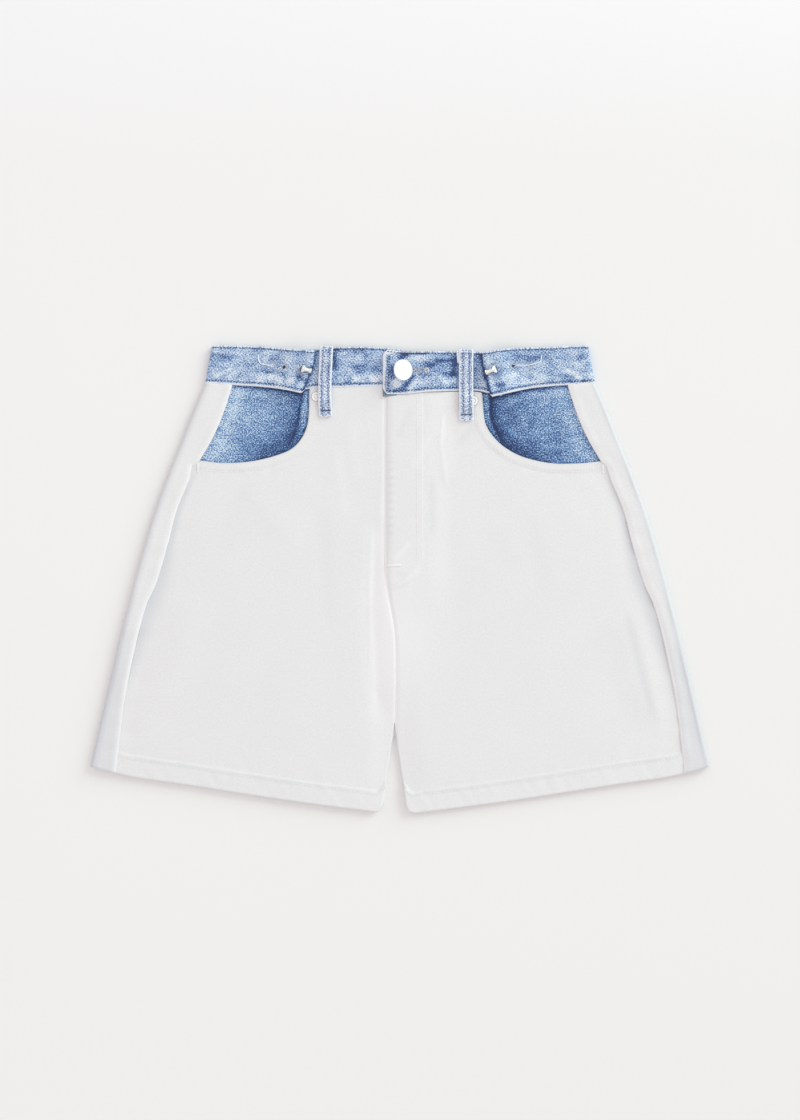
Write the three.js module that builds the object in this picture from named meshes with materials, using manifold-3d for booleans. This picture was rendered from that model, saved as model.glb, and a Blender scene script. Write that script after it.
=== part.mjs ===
// High-waisted denim shorts lying flat, front up, cut and sewn as the real ones are.
// Millimetres, +Z up. The surface is z = 0, the waist lies toward +Y, and the left-hand leg of the
// view from above toward -X. Every panel is a wall of cloth, 0.3 mm from its neighbour at a seam.
import * as THREE from 'three';
import { mergeVertices } from 'three/addons/utils/BufferGeometryUtils.js';
import Module from 'manifold-3d';

const wasm = await Module();
wasm.setup();

// Cloth thicknesses and the gaps between pieces
const CLOTH = 1.3;
const FACING_CLOTH = 1.1;
const BAND_CLOTH = 2.4;
const LOOP_CLOTH = 1.8;
const HEM_CLOTH = 2.2;
const HEM_WIDTH = 16.5;
const SEAM = 0.3;
const LAYER = 0.4;
const LEG_LAYER = 0.7;

// Levels of the layers above the surface
const FACING_LOW = CLOTH + SEAM;
const FRONT_LOW = FACING_LOW + FACING_CLOTH + LAYER;
const FRONT_TOP = FRONT_LOW + CLOTH;
const LEG_LOFT_HEIGHT = 40;
const BAND_PITCH = BAND_CLOTH + LAYER;
const bandLevel = (layer) => BAND_CLOTH / 2 + layer * BAND_PITCH;
const bandTop = (layer) => bandLevel(layer) + BAND_CLOTH / 2;

// Half outline at the side roll, the seam on the front where the back panel ends, and the roll's height
const SIDE = [
  { y: -178.0, roll: 291.0, seam: 267.0, height: 6.2 },
  { y: -115.0, roll: 276.8, seam: 259.3, height: 6.2 },
  { y: -80.0, roll: 268.6, seam: 252.5, height: 6.2 },
  { y: -47.0, roll: 261.0, seam: 245.0, height: 6.2 },
  { y: -24.0, roll: 255.0, seam: 238.3, height: 6.2 },
  { y: -4.0, roll: 250.0, seam: 229.3, height: 6.2 },
  { y: 34.0, roll: 239.3, seam: 218.0, height: 6.1 },
  { y: 66.0, roll: 229.3, seam: 209.5, height: 6.0 },
  { y: 103.0, roll: 215.7, seam: 193.0, height: 5.9 },
  { y: 129.0, roll: 205.0, seam: 178.0, height: 5.8 },
  { y: 150.0, roll: 197.0, seam: 168.3, height: 5.7 },
  { y: 176.0, roll: 186.0, seam: 159.5, height: 5.5 },
  { y: 183.0, roll: 182.5, seam: 157.5, height: 5.4 },
];
const SEAM_DROP = 0.9;

// Hem line of both legs, by distance from the middle
const HEM = [
  { x: 14.0, y: -218.9 },
  { x: 66.0, y: -212.4 },
  { x: 117.0, y: -205.4 },
  { x: 195.0, y: -193.2 },
  { x: 250.0, y: -185.2 },
  { x: 267.0, y: -181.4 },
  { x: 291.0, y: -175.8 },
];
const HEM_CORNER = 7;
const BACK_HEM_SHORTER = 1.2;

// Edge of the lapped front, from the seam above the crotch up to the fly
const CROTCH = { x: -5.3, y: -135.1 };
const FLY_EDGE = [
  { y: CROTCH.y, x: CROTCH.x },
  { y: -101.8, x: -4.7 },
  { y: -63.0, x: -5.0 },
  { y: -44.0, x: -6.6 },
  { y: -7.0, x: -12.8 },
  { y: 15.6, x: -14.4 },
  { y: 183.0, x: -14.4 },
];
const FLY_LAP = 10;
const FLY_LAP_END = { low: 20, high: 46 };
const FLY_RISE = { value: CLOTH + LAYER, low: -50, high: 12, wide: 24, fade: 26 };

// Spread of each leg from the middle of the gap between the legs
const INNER_LEG = [
  { y: -212.0, spread: 11.2 },
  { y: -194.8, spread: 8.7 },
  { y: -170.4, spread: 4.9 },
  { y: CROTCH.y, spread: SEAM / 2 },
];
const INNER_LEG_FADE = 26;
const BACK_SEAM_TOP_X = 0;

// Top and foot edges of the waistband on each of its visible runs, and on the back
const BAND_EDGES = {
  leftCentre: [
    { x: -95.0, top: 214.4, foot: 176.6 },
    { x: -77.5, top: 215.2, foot: 179.3 },
    { x: -61.0, top: 217.2, foot: 179.5 },
    { x: -16.0, top: 216.7, foot: 180.7 },
    { x: 24.0, top: 211.5, foot: 180.4 },
  ],
  leftSide: [
    { x: -182.0, top: 218.7, foot: 183.4 },
    { x: -158.9, top: 218.5, foot: 182.1 },
    { x: -128.8, top: 217.6, foot: 180.2 },
    { x: -110.0, top: 216.0, foot: 177.6 },
    { x: -82.0, top: 213.4, foot: 171.6 },
  ],
  rightCentre: [
    { x: -16.0, top: 215.6, foot: 172.6 },
    { x: 4.4, top: 213.4, foot: 173.0 },
    { x: 25.0, top: 213.1, foot: 175.3 },
    { x: 55.5, top: 213.1, foot: 176.5 },
    { x: 73.3, top: 212.7, foot: 176.3 },
    { x: 92.0, top: 212.0, foot: 172.0 },
  ],
  rightSide: [
    { x: 78.0, top: 212.3, foot: 168.4 },
    { x: 103.0, top: 216.0, foot: 174.4 },
    { x: 121.6, top: 216.8, foot: 178.6 },
    { x: 142.3, top: 217.3, foot: 180.9 },
    { x: 158.9, top: 218.1, foot: 182.1 },
    { x: 182.0, top: 218.7, foot: 183.4 },
  ],
  back: [
    { x: -182.0, top: 218.7, foot: 183.4 },
    { x: -90.0, top: 212.6, foot: 178.6 },
    { x: 0.0, top: 211.2, foot: 177.6 },
    { x: 90.0, top: 211.0, foot: 177.6 },
    { x: 182.0, top: 218.7, foot: 183.4 },
  ],
};
const BAND_SIDE = { top: 175.3, foot: 182.0 };
const BAND_HIDDEN_END_X = 24;
const TAB = { end: -15.8, corner: 7.5, flat: 26, run: 56 };

// Pleats pinched beside the belt loops: the edge that shows, at the top and the foot, and its depth
const PLEATS = {
  left: { top: -81.5, foot: -91.5, bend: 1.9, depth: 9.5, ramp: 30 },
  right: { top: 78.4, foot: 85.6, bend: 1.6, depth: 9.5, ramp: 30 },
};

// Pocket mouths from the band down and outward past the side seam
const POCKET_MOUTH = [
  { leftX: -84.6, leftY: 196.0, rightX: 76.4, rightY: 196.0 },
  { leftX: -84.6, leftY: 178.0, rightX: 76.6, rightY: 174.0 },
  { leftX: -85.0, leftY: 156.7, rightX: 78.1, rightY: 153.9 },
  { leftX: -87.0, leftY: 142.6, rightX: 80.9, rightY: 142.6 },
  { leftX: -92.5, leftY: 131.0, rightX: 88.5, rightY: 131.7 },
  { leftX: -102.0, leftY: 121.5, rightX: 99.5, rightY: 122.2 },
  { leftX: -118.0, leftY: 115.0, rightX: 116.0, rightY: 114.0 },
  { leftX: -140.0, leftY: 110.0, rightX: 140.0, rightY: 108.6 },
  { leftX: -165.0, leftY: 108.5, rightX: 165.0, rightY: 108.1 },
  { leftX: -189.1, leftY: 111.1, rightX: 189.5, rightY: 110.3 },
  { leftX: -225.0, leftY: 118.0, rightX: 225.0, rightY: 117.0 },
];
const FACING = {
  left: { innerX: 66, innerLowX: 76, innerY: 118, outerY: 86 },
  right: { innerX: 57, innerLowX: 70, innerY: 118, outerY: 86 },
};

// Soft folds of the front panels: a ridge or a dip between two points
const FRONT_FOLDS = [
  { fromX: -18, fromY: 52, toX: -28, toY: -20, height: -0.9, width: 9 },
  { fromX: -28, fromY: -20, toX: -22, toY: -128, height: -0.9, width: 9 },
  { fromX: 209, fromY: -37, toX: 234, toY: -131, height: 0.9, width: 16 },
  { fromX: -196, fromY: -20, toX: -222, toY: -118, height: 0.7, width: 18 },
  { fromX: 41, fromY: 140, toX: 46, toY: 92, height: 0.5, width: 7 },
  { fromX: -150, fromY: 70, toX: -96, toY: 40, height: 0.5, width: 20 },
  { fromX: 96, fromY: 30, toX: 168, toY: 66, height: 0.5, width: 20 },
];
const FOLD_ENDS = { rate: 4, start: 0.5 };
const SEAM_DIP = { depth: 0.3, at: 9, width: 8 };

// Belt loops: middle of the top and the foot ends, width, and the rivet that each one partly covers
const LOOPS = {
  left: { topX: -68.4, footX: -71.3, topY: 217.9, footY: 151.6, width: 12.4, low: 160 },
  right: { topX: 62.2, footX: 62.4, topY: 215.2, footY: 147.8, width: 13.4, low: 155 },
};
const RIVETS = {
  left: { x: -78.8, y: 171.0, radius: 4.4 },
  right: { x: 68.6, y: 167.0, radius: 4.7 },
};
const RIVET_HEIGHT = 1.2;
const LOOP_BEND = { top: 3, topDrop: LAYER, high: 8, mid: 2, low: 4 };
const LOOP_COLUMNS = [-0.5, -0.42, 0.42, 0.5];

// Low ring round a centre nub, as shares of a rivet's radius and height
const RIVET_PROFILE = [
  { radius: 0, height: 0 },
  { radius: 1, height: 0 },
  { radius: 1, height: 0.5 },
  { radius: 0.8, height: 1 },
  { radius: 0.5, height: 1 },
  { radius: 0.36, height: 0.6 },
  { radius: 0.2, height: 0.9 },
  { radius: 0, height: 1 },
];

// Tack button in its buttonhole, and the section of its domed head
const BUTTON = { x: 2.9, y: 196.0, radius: 9.8, tilt: 28, shank: 2.4, rim: 0.9 };
const BUTTONHOLE = { length: 23, width: 1.2, eyelet: 3.1, opening: Math.PI / 12, depth: 12, steps: 12 };
const BUTTON_PROFILE = [
  { radius: 0, height: -BUTTON.rim },
  { radius: 9.2, height: -BUTTON.rim },
  { radius: BUTTON.radius, height: -0.27 },
  { radius: BUTTON.radius, height: 0.27 },
  { radius: 8.8, height: BUTTON.rim },
  { radius: 4.9, height: 1.53 },
  { radius: 0, height: 1.7 },
];

// Spool-shaped studs that pin the pleats, each lying on its pleat from flange to collar
const STUDS = {
  left: { flangeX: -92.2, flangeY: 197.6, collarX: -84.8, collarY: 195.2 },
  right: { flangeX: 90.4, flangeY: 196.4, collarX: 82.6, collarY: 193.4 },
};
const STUD = {
  flange: 2.8, flangeRim: 2.24, flangeThick: 1.1, fillet: 0.4, shank: 1.1, collar: 1.7, collarThick: 1.0,
  collarBevel: 0.3, lift: 0.22,
};

// Sides of the turned pieces, and the distance at which points of a solid are one
const ROUND_SIDES = { rivet: 24, button: 40, shank: 20, stud: 16 };
const WELD = 1e-4;

const mix = (a, b, t) => a + (b - a) * t;
const clamp01 = (t) => Math.min(1, Math.max(0, t));
const ease = (t) => clamp01(t) ** 2 * (3 - 2 * clamp01(t));
const bump = (distance, width) => Math.exp(-((distance / width) ** 2));

// Value of a column on a smooth curve through the rows, which rise in their key
function along(rows, key, column, at) {
  const last = rows.length - 1;
  const place = Math.min(rows[last][key], Math.max(rows[0][key], at));
  let i = 0;
  while (i < last - 1 && rows[i + 1][key] < place) i += 1;
  const slope = (n) => {
    const low = rows[Math.max(0, n - 1)];
    const high = rows[Math.min(last, n + 1)];
    return (high[column] - low[column]) / (high[key] - low[key]);
  };
  const [a, b] = [rows[i], rows[i + 1]];
  const span = b[key] - a[key];
  const t = (place - a[key]) / span;
  const [t2, t3] = [t * t, t * t * t];
  return (2 * t3 - 3 * t2 + 1) * a[column] + (t3 - 2 * t2 + t) * span * slope(i)
    + (3 * t2 - 2 * t3) * b[column] + (t3 - t2) * span * slope(i + 1);
}

const rollAt = (y) => along(SIDE, 'y', 'roll', y);
const seamAt = (y) => along(SIDE, 'y', 'seam', y);
const rollHeightAt = (y) => along(SIDE, 'y', 'height', y);
const hemAt = (x) => {
  const inside = Math.max(0, HEM_CORNER - (Math.abs(x - CROTCH.x) - INNER_LEG[0].spread));
  const lift = HEM_CORNER - Math.sqrt(Math.max(0, HEM_CORNER ** 2 - inside ** 2));
  return along(HEM, 'x', 'y', Math.abs(x)) + lift;
};
const legSpreadAt = (y) => along(INNER_LEG, 'y', 'spread', y);
const flyEdgeAt = (y) => along(FLY_EDGE, 'y', 'x', y);
const bandEdgeAt = (run, x, v) => {
  const rows = BAND_EDGES[run];
  return mix(along(rows, 'x', 'top', x), along(rows, 'x', 'foot', x), v);
};

// Closed wall between two grids of points, the rim joining their edges
function wall(outer, inner) {
  const [rows, cols] = [outer.length, outer[0].length];
  const at = (face, r, c) => (face * rows + r) * cols + c;
  const index = [];
  const quad = (a, b, c, d) => index.push(a, b, c, a, c, d);
  for (let r = 0; r < rows - 1; r += 1) {
    for (let c = 0; c < cols - 1; c += 1) {
      quad(at(0, r, c), at(0, r, c + 1), at(0, r + 1, c + 1), at(0, r + 1, c));
      quad(at(1, r, c), at(1, r + 1, c), at(1, r + 1, c + 1), at(1, r, c + 1));
    }
    quad(at(0, r, 0), at(0, r + 1, 0), at(1, r + 1, 0), at(1, r, 0));
    quad(at(0, r, cols - 1), at(1, r, cols - 1), at(1, r + 1, cols - 1), at(0, r + 1, cols - 1));
  }
  for (let c = 0; c < cols - 1; c += 1) {
    quad(at(0, 0, c), at(1, 0, c), at(1, 0, c + 1), at(0, 0, c + 1));
    quad(at(0, rows - 1, c), at(0, rows - 1, c + 1), at(1, rows - 1, c + 1), at(1, rows - 1, c));
  }
  const points = [...outer.flat(), ...inner.flat()];
  return facingOut(points, index);
}

// Geometry of a closed mesh, its triangles turned so that they face out
function facingOut(points, index) {
  let volume = 0;
  for (let i = 0; i < index.length; i += 3) {
    const [a, b, c] = [points[index[i]], points[index[i + 1]], points[index[i + 2]]];
    volume += a.dot(b.clone().cross(c));
  }
  const turned = volume > 0 ? index : [...index].reverse();
  const geometry = new THREE.BufferGeometry();
  const places = points.flatMap((p) => [p.x, p.y, p.z]);
  geometry.setAttribute('position', new THREE.Float32BufferAttribute(places, 3));
  geometry.setIndex(turned);
  return geometry;
}

// Grid of plan points inside four edges: top and foot run across, start and end run down
function patch({ top, foot, start, end }, columns, rows) {
  const blend = (k, r, c) => {
    const betweenSides = mix(start(r)[k], end(r)[k], c);
    const betweenEnds = mix(top(c)[k], foot(c)[k], r);
    const topCorners = mix(start(0)[k], end(0)[k], c);
    const footCorners = mix(start(1)[k], end(1)[k], c);
    return betweenSides + betweenEnds - mix(topCorners, footCorners, r);
  };
  return rows.map((r) => columns.map((c) => ({ x: blend('x', r, c), y: blend('y', r, c) })));
}

// Wall lying over a grid of plan points, from the height of its middle and its thickness
function layer(grid, middle, thickness) {
  const face = (side) => grid.map((row) => row.map((p) => (
    new THREE.Vector3(p.x, p.y, middle(p) + side * thickness(p) / 2)
  )));
  return wall(face(1), face(-1));
}

function toSolid(geometry) {
  const bare = geometry.clone();
  bare.deleteAttribute('normal');
  bare.deleteAttribute('uv');
  const merged = mergeVertices(bare, WELD);
  return new wasm.Manifold(new wasm.Mesh({
    numProp: 3,
    vertProperties: new Float32Array(merged.attributes.position.array),
    triVerts: new Uint32Array(merged.index.array),
  }));
}

function fromSolid(solid) {
  const mesh = solid.getMesh();
  const geometry = new THREE.BufferGeometry();
  geometry.setAttribute('position', new THREE.Float32BufferAttribute(mesh.vertProperties, 3));
  geometry.setIndex([...mesh.triVerts]);
  return geometry;
}

// Prism of an outline in plan, tall enough to cut through every layer
const CUTTER = { low: -20, height: 60 };
function cutter(outline) {
  const shape = new THREE.Shape(outline.map((p) => new THREE.Vector2(p.x, p.y)));
  const geometry = new THREE.ExtrudeGeometry(shape, { depth: CUTTER.height, bevelEnabled: false });
  geometry.translate(0, 0, CUTTER.low);
  return toSolid(geometry);
}

// Share of the turned hem at a plan point: 0 on the leg, 1 on the hem
const HEM_STEP = 1.6;
function hemShare(p, shorter = 0) {
  const stepTop = hemAt(p.x) + shorter + HEM_WIDTH + HEM_STEP;
  return ease((stepTop - p.y) / HEM_STEP);
}
const frontThickness = (p) => mix(CLOTH, HEM_CLOTH, hemShare(p));
const backThickness = (p) => mix(CLOTH, HEM_CLOTH, hemShare(p, BACK_HEM_SHORTER));

function foldHeight(p) {
  return FRONT_FOLDS.reduce((sum, fold) => {
    const [dx, dy] = [fold.toX - fold.fromX, fold.toY - fold.fromY];
    const length = Math.hypot(dx, dy);
    const t = ((p.x - fold.fromX) * dx + (p.y - fold.fromY) * dy) / length ** 2;
    const off = ((p.x - fold.fromX) * dy - (p.y - fold.fromY) * dx) / length;
    const start = ease(t * FOLD_ENDS.rate + FOLD_ENDS.start);
    const end = ease((1 - t) * FOLD_ENDS.rate + FOLD_ENDS.start);
    return sum + fold.height * start * end * bump(off, fold.width);
  }, 0);
}

// Height of the middle of a front panel: over the back at the inner leg, over the facing elsewhere
function frontMiddle(p, lapped) {
  const hem = hemShare(p);
  const over = mix(CLOTH, HEM_CLOTH, hemShare(p, BACK_HEM_SHORTER)) + LEG_LAYER + frontThickness(p) / 2;
  const besideLeg = ease((Math.abs(p.x - CROTCH.x) - legSpreadAt(p.y)) / INNER_LEG_FADE);
  const aboveCrotch = ease((p.y - CROTCH.y) / LEG_LOFT_HEIGHT);
  const loft = (FRONT_LOW - CLOTH - LEG_LAYER) * Math.max(besideLeg, aboveCrotch) * (1 - hem);
  const fromSeam = seamAt(p.y) - Math.abs(p.x);
  const dip = SEAM_DIP.depth * bump(fromSeam - SEAM_DIP.at, SEAM_DIP.width);
  const across = ease(1 - (p.x - FLY_RISE.wide) / FLY_RISE.fade);
  const down = ease((p.y - FLY_RISE.low) / (FLY_RISE.high - FLY_RISE.low));
  const rise = lapped ? FLY_RISE.value * across * down : 0;
  return over + loft + rise + (foldHeight(p) - dip) * (1 - hem);
}

// Distances across and down a panel, closer together at its edges
const PANEL_COLUMNS = [0, 0.03, 0.07, 0.13, 0.22, 0.33, 0.45, 0.57, 0.68, 0.78, 0.86, 0.91, 0.95, 0.98, 1];
const CROTCH_ROW = 0.79;
const HEM_ROWS = [0.946, 0.952, 0.96, 1];
const PANEL_ROWS = [
  0, 0.05, 0.11, 0.17, 0.24, 0.31, 0.38, 0.45, 0.52, 0.59, 0.66, 0.73, CROTCH_ROW, 0.85, 0.9, ...HEM_ROWS,
];

// Inner edge of one half: down the middle to the crotch, then down the inner leg
function innerEdge(side, top, foot, middle) {
  return (t) => {
    const y = t < CROTCH_ROW
      ? mix(top, CROTCH.y, t / CROTCH_ROW) : mix(CROTCH.y, foot, (t - CROTCH_ROW) / (1 - CROTCH_ROW));
    return { x: y < CROTCH.y ? CROTCH.x + side * legSpreadAt(y) : middle(y), y };
  };
}

// Heights at which a panel's inner edge and the side seam meet the band, and where the seam meets the hem
const PANEL_TOP = 180;
const POCKET_SIDE = 90;
const SEAM_TOP_Y = 181.7;
const SEAM_FOOT_Y = -181.4;
const seamYAt = (t) => mix(SEAM_TOP_Y, SEAM_FOOT_Y, t);

// Edge that runs across between two points, its height a function of the place across
const across = (a, b, yAt) => (t) => {
  const x = mix(a.x, b.x, t);
  const ends = mix(a.y - yAt(a.x), b.y - yAt(b.x), t);
  return { x, y: yAt(x) + ends };
};

// A front panel: side is -1 for the left-hand one and 1 for the right-hand one, which laps over it
function frontPanel(side) {
  const lapped = side > 0;
  const centre = lapped ? 'rightCentre' : 'leftCentre';
  const middle = (y) => {
    const lap = ease((y - FLY_LAP_END.low) / (FLY_LAP_END.high - FLY_LAP_END.low));
    return flyEdgeAt(y) + (lapped ? SEAM / 2 : mix(-SEAM / 2, FLY_LAP, lap));
  };
  const topAt = (x) => {
    const past = clamp01((Math.abs(x) - POCKET_SIDE) / (seamAt(SEAM_TOP_Y) - POCKET_SIDE));
    return mix(bandEdgeAt(centre, x, 1) - SEAM, SEAM_TOP_Y, past);
  };
  const start = (t) => ({ x: side * (seamAt(seamYAt(t)) - SEAM), y: seamYAt(t) });
  const footX = CROTCH.x + side * INNER_LEG[0].spread;
  const end = innerEdge(side, topAt(middle(PANEL_TOP)), hemAt(footX), middle);
  const edges = { top: across(start(0), end(0), topAt), foot: across(start(1), end(1), hemAt), start, end };
  const grid = patch(edges, PANEL_COLUMNS, PANEL_ROWS);
  const full = layer(grid, (p) => frontMiddle(p, lapped), frontThickness);
  return fromSolid(toSolid(full).subtract(cutter(pocketOpening(side))));
}

// Outline of what a pocket mouth takes out of its front panel, past the top and the side seam
const OPENING = { outsideX: 225, topY: 240, steps: 40 };
function pocketOpening(side) {
  const [x, y] = side < 0 ? ['leftX', 'leftY'] : ['rightX', 'rightY'];
  const mouth = new THREE.SplineCurve(POCKET_MOUTH.map((row) => new THREE.Vector2(row[x], row[y])));
  return [
    ...mouth.getPoints(OPENING.steps),
    new THREE.Vector2(side * OPENING.outsideX, OPENING.topY),
    new THREE.Vector2(POCKET_MOUTH[0][x], OPENING.topY),
  ];
}

// A pocket facing under the mouth, from the side seam to under the front panel
const FACING_COLUMNS = [0, 0.04, 0.1, 0.2, 0.3, 0.42, 0.54, 0.66, 0.76, 0.86, 0.94, 1];
const FACING_ROWS = [0, 0.08, 0.2, 0.35, 0.5, 0.65, 0.8, 0.92, 1];
const FACING_TOP_Y = 182;
const FACING_FOOT_BEND = 0.6;
const FACING_SHOWN = { overMouth: 2, mouthFade: 12, besidePleat: 12, pleatFade: 8 };
const FACING_SEAM_RISE = { height: 0.4, width: 9 };
const PLEAT_RIDGE = { height: 1.6, width: 7, length: 52, lean: 0.3 };
function pocketFacing(side) {
  const run = FACING[side < 0 ? 'left' : 'right'];
  const pleat = PLEATS[side < 0 ? 'left' : 'right'];
  const sideRun = side < 0 ? 'leftSide' : 'rightSide';
  const centreRun = side < 0 ? 'leftCentre' : 'rightCentre';
  const topAt = (x) => {
    const front = Math.abs(x) > Math.abs(pleat.foot) ? sideRun : centreRun;
    return Math.min(bandEdgeAt(front, x, 1), bandEdgeAt('back', x, 1)) - SEAM;
  };
  const outerX = (y) => side * (seamAt(y) - SEAM);
  const outer = { top: topAt(outerX(FACING_TOP_Y)), foot: run.outerY };
  const inner = { top: topAt(side * run.innerX), foot: run.innerY };
  const edges = {
    top: (t) => {
      const x = mix(outerX(FACING_TOP_Y), side * run.innerX, t);
      return { x, y: topAt(x) };
    },
    foot: (t) => ({
      x: mix(outerX(outer.foot), side * run.innerLowX, t),
      y: mix(outer.foot, inner.foot, ease(t + FACING_FOOT_BEND * (t - 1))),
    }),
    start: (t) => {
      const y = mix(outer.top, outer.foot, t);
      return { x: outerX(y), y };
    },
    end: (t) => ({
      x: side * mix(run.innerX, run.innerLowX, t),
      y: mix(inner.top, inner.foot, t),
    }),
  };
  const mouth = pocketMouthFoot(side);
  const middle = (p) => {
    const low = FACING_LOW + FACING_CLOTH / 2;
    const overMouth = p.y - mouth(p.x) - FACING_SHOWN.overMouth;
    const besidePleat = Math.abs(p.x) - Math.abs(pleat.top) - FACING_SHOWN.besidePleat;
    const shown = ease(overMouth / FACING_SHOWN.mouthFade) * ease(besidePleat / FACING_SHOWN.pleatFade);
    const fromSeam = seamAt(p.y) - Math.abs(p.x);
    const atSeam = FACING_SEAM_RISE.height * bump(fromSeam, FACING_SEAM_RISE.width);
    const below = topAt(p.x) - p.y;
    const line = Math.abs(pleat.foot) + PLEAT_RIDGE.lean * below + PLEAT_RIDGE.width;
    const onLine = bump(Math.abs(p.x) - line, PLEAT_RIDGE.width);
    const ridge = PLEAT_RIDGE.height * onLine * ease(1 - below / PLEAT_RIDGE.length);
    return low + shown * (atSeam + ridge);
  };
  return layer(patch(edges, FACING_COLUMNS, FACING_ROWS), middle, () => FACING_CLOTH);
}

// Height on the garment of the pocket mouth's lower curve at a distance from the middle
function pocketMouthFoot(side) {
  const [x, y] = side < 0 ? ['leftX', 'leftY'] : ['rightX', 'rightY'];
  const rows = POCKET_MOUTH.slice(2).map((row) => ({ x: Math.abs(row[x]), y: row[y] }));
  return (at) => along(rows, 'x', 'y', Math.abs(at));
}

// A back panel: flat on the surface, rolled up round the side and inward to the side seam
const BACK_COLUMNS = [0, 0.04, 0.1, 0.22, 0.36, 0.52, 0.68, 0.82, 0.93, 1];
const ROLL_STEPS = 7;
const STRIP_COLUMNS = [0.35, 0.7, 0.93, 1];
function backPanel(side) {
  const seamSlope = (BACK_SEAM_TOP_X - CROTCH.x) / (PANEL_TOP - CROTCH.y);
  const middle = (y) => CROTCH.x + seamSlope * (y - CROTCH.y) + side * SEAM / 2;
  const topAt = (x) => bandEdgeAt('back', x, 1) - SEAM;
  const footAt = (x) => hemAt(x) + BACK_HEM_SHORTER;
  const sideYAt = (t) => mix(topAt(BAND_SIDE.foot), hemAt(SIDE[0].roll), t);
  const flatXAt = (y) => rollAt(y) - rollHeightAt(y) / 2;
  const end = (t) => ({ x: side * flatXAt(sideYAt(t)), y: sideYAt(t) });
  const footX = CROTCH.x + side * INNER_LEG[0].spread;
  const start = innerEdge(side, topAt(middle(PANEL_TOP)), footAt(footX), middle);
  const edges = { top: across(start(0), end(0), topAt), foot: across(start(1), end(1), footAt), start, end };
  const outer = [];
  const inner = [];
  patch(edges, BACK_COLUMNS, PANEL_ROWS).forEach((row, i) => {
    const ySide = sideYAt(PANEL_ROWS[i]);
    const ySeam = seamYAt(PANEL_ROWS[i]);
    const height = rollHeightAt(ySide);
    const thick = backThickness({ x: side * SIDE[0].roll, y: ySide - BACK_HEM_SHORTER });
    const rollX = flatXAt(ySide);
    const faceOut = row.map((p) => new THREE.Vector3(p.x, p.y, 0));
    const faceIn = row.map((p) => new THREE.Vector3(p.x, p.y, backThickness(p)));
    for (let s = 1; s <= ROLL_STEPS; s += 1) {
      const angle = (s / ROLL_STEPS - 0.5) * Math.PI;
      const place = (r) => new THREE.Vector3(
        side * (rollX + r * Math.cos(angle)), ySide, height / 2 + r * Math.sin(angle),
      );
      faceOut.push(place(height / 2));
      faceIn.push(place(height / 2 - thick));
    }
    STRIP_COLUMNS.forEach((c) => {
      const [x, y] = [side * mix(rollX, seamAt(ySeam), c), mix(ySide, ySeam, c)];
      const z = height - SEAM_DROP * c * c;
      faceOut.push(new THREE.Vector3(x, y, z));
      faceIn.push(new THREE.Vector3(x, y, z - thick));
    });
    outer.push(faceOut);
    inner.push(faceIn);
  });
  return wall(outer, inner);
}

// Places along the waistband's hidden end, its back and its right-hand side, and the steps of its bends
const BAND_ROWS = [0, 0.05, 0.16, 0.5, 0.84, 0.95, 1];
const BAND_HIDDEN_X = [BAND_HIDDEN_END_X, -5, -30, -60, -70, -80];
const BAND_BACK_X = [-150, -120, -90, -60, -30, 0, 30, 60, 90, 120, 150];
const BAND_RIGHT_X = [78, 70, 60];
const TAB_BUTTON_X = 8;
const RAMP_STEPS = [0, 0.25, 0.5, 0.75, 1];
const TURN_STEPS = 6;
const BAND_SIDE_RUN = 16;
const SIDE_ROLL_TOP = bandLevel(1) + LAYER;

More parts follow.
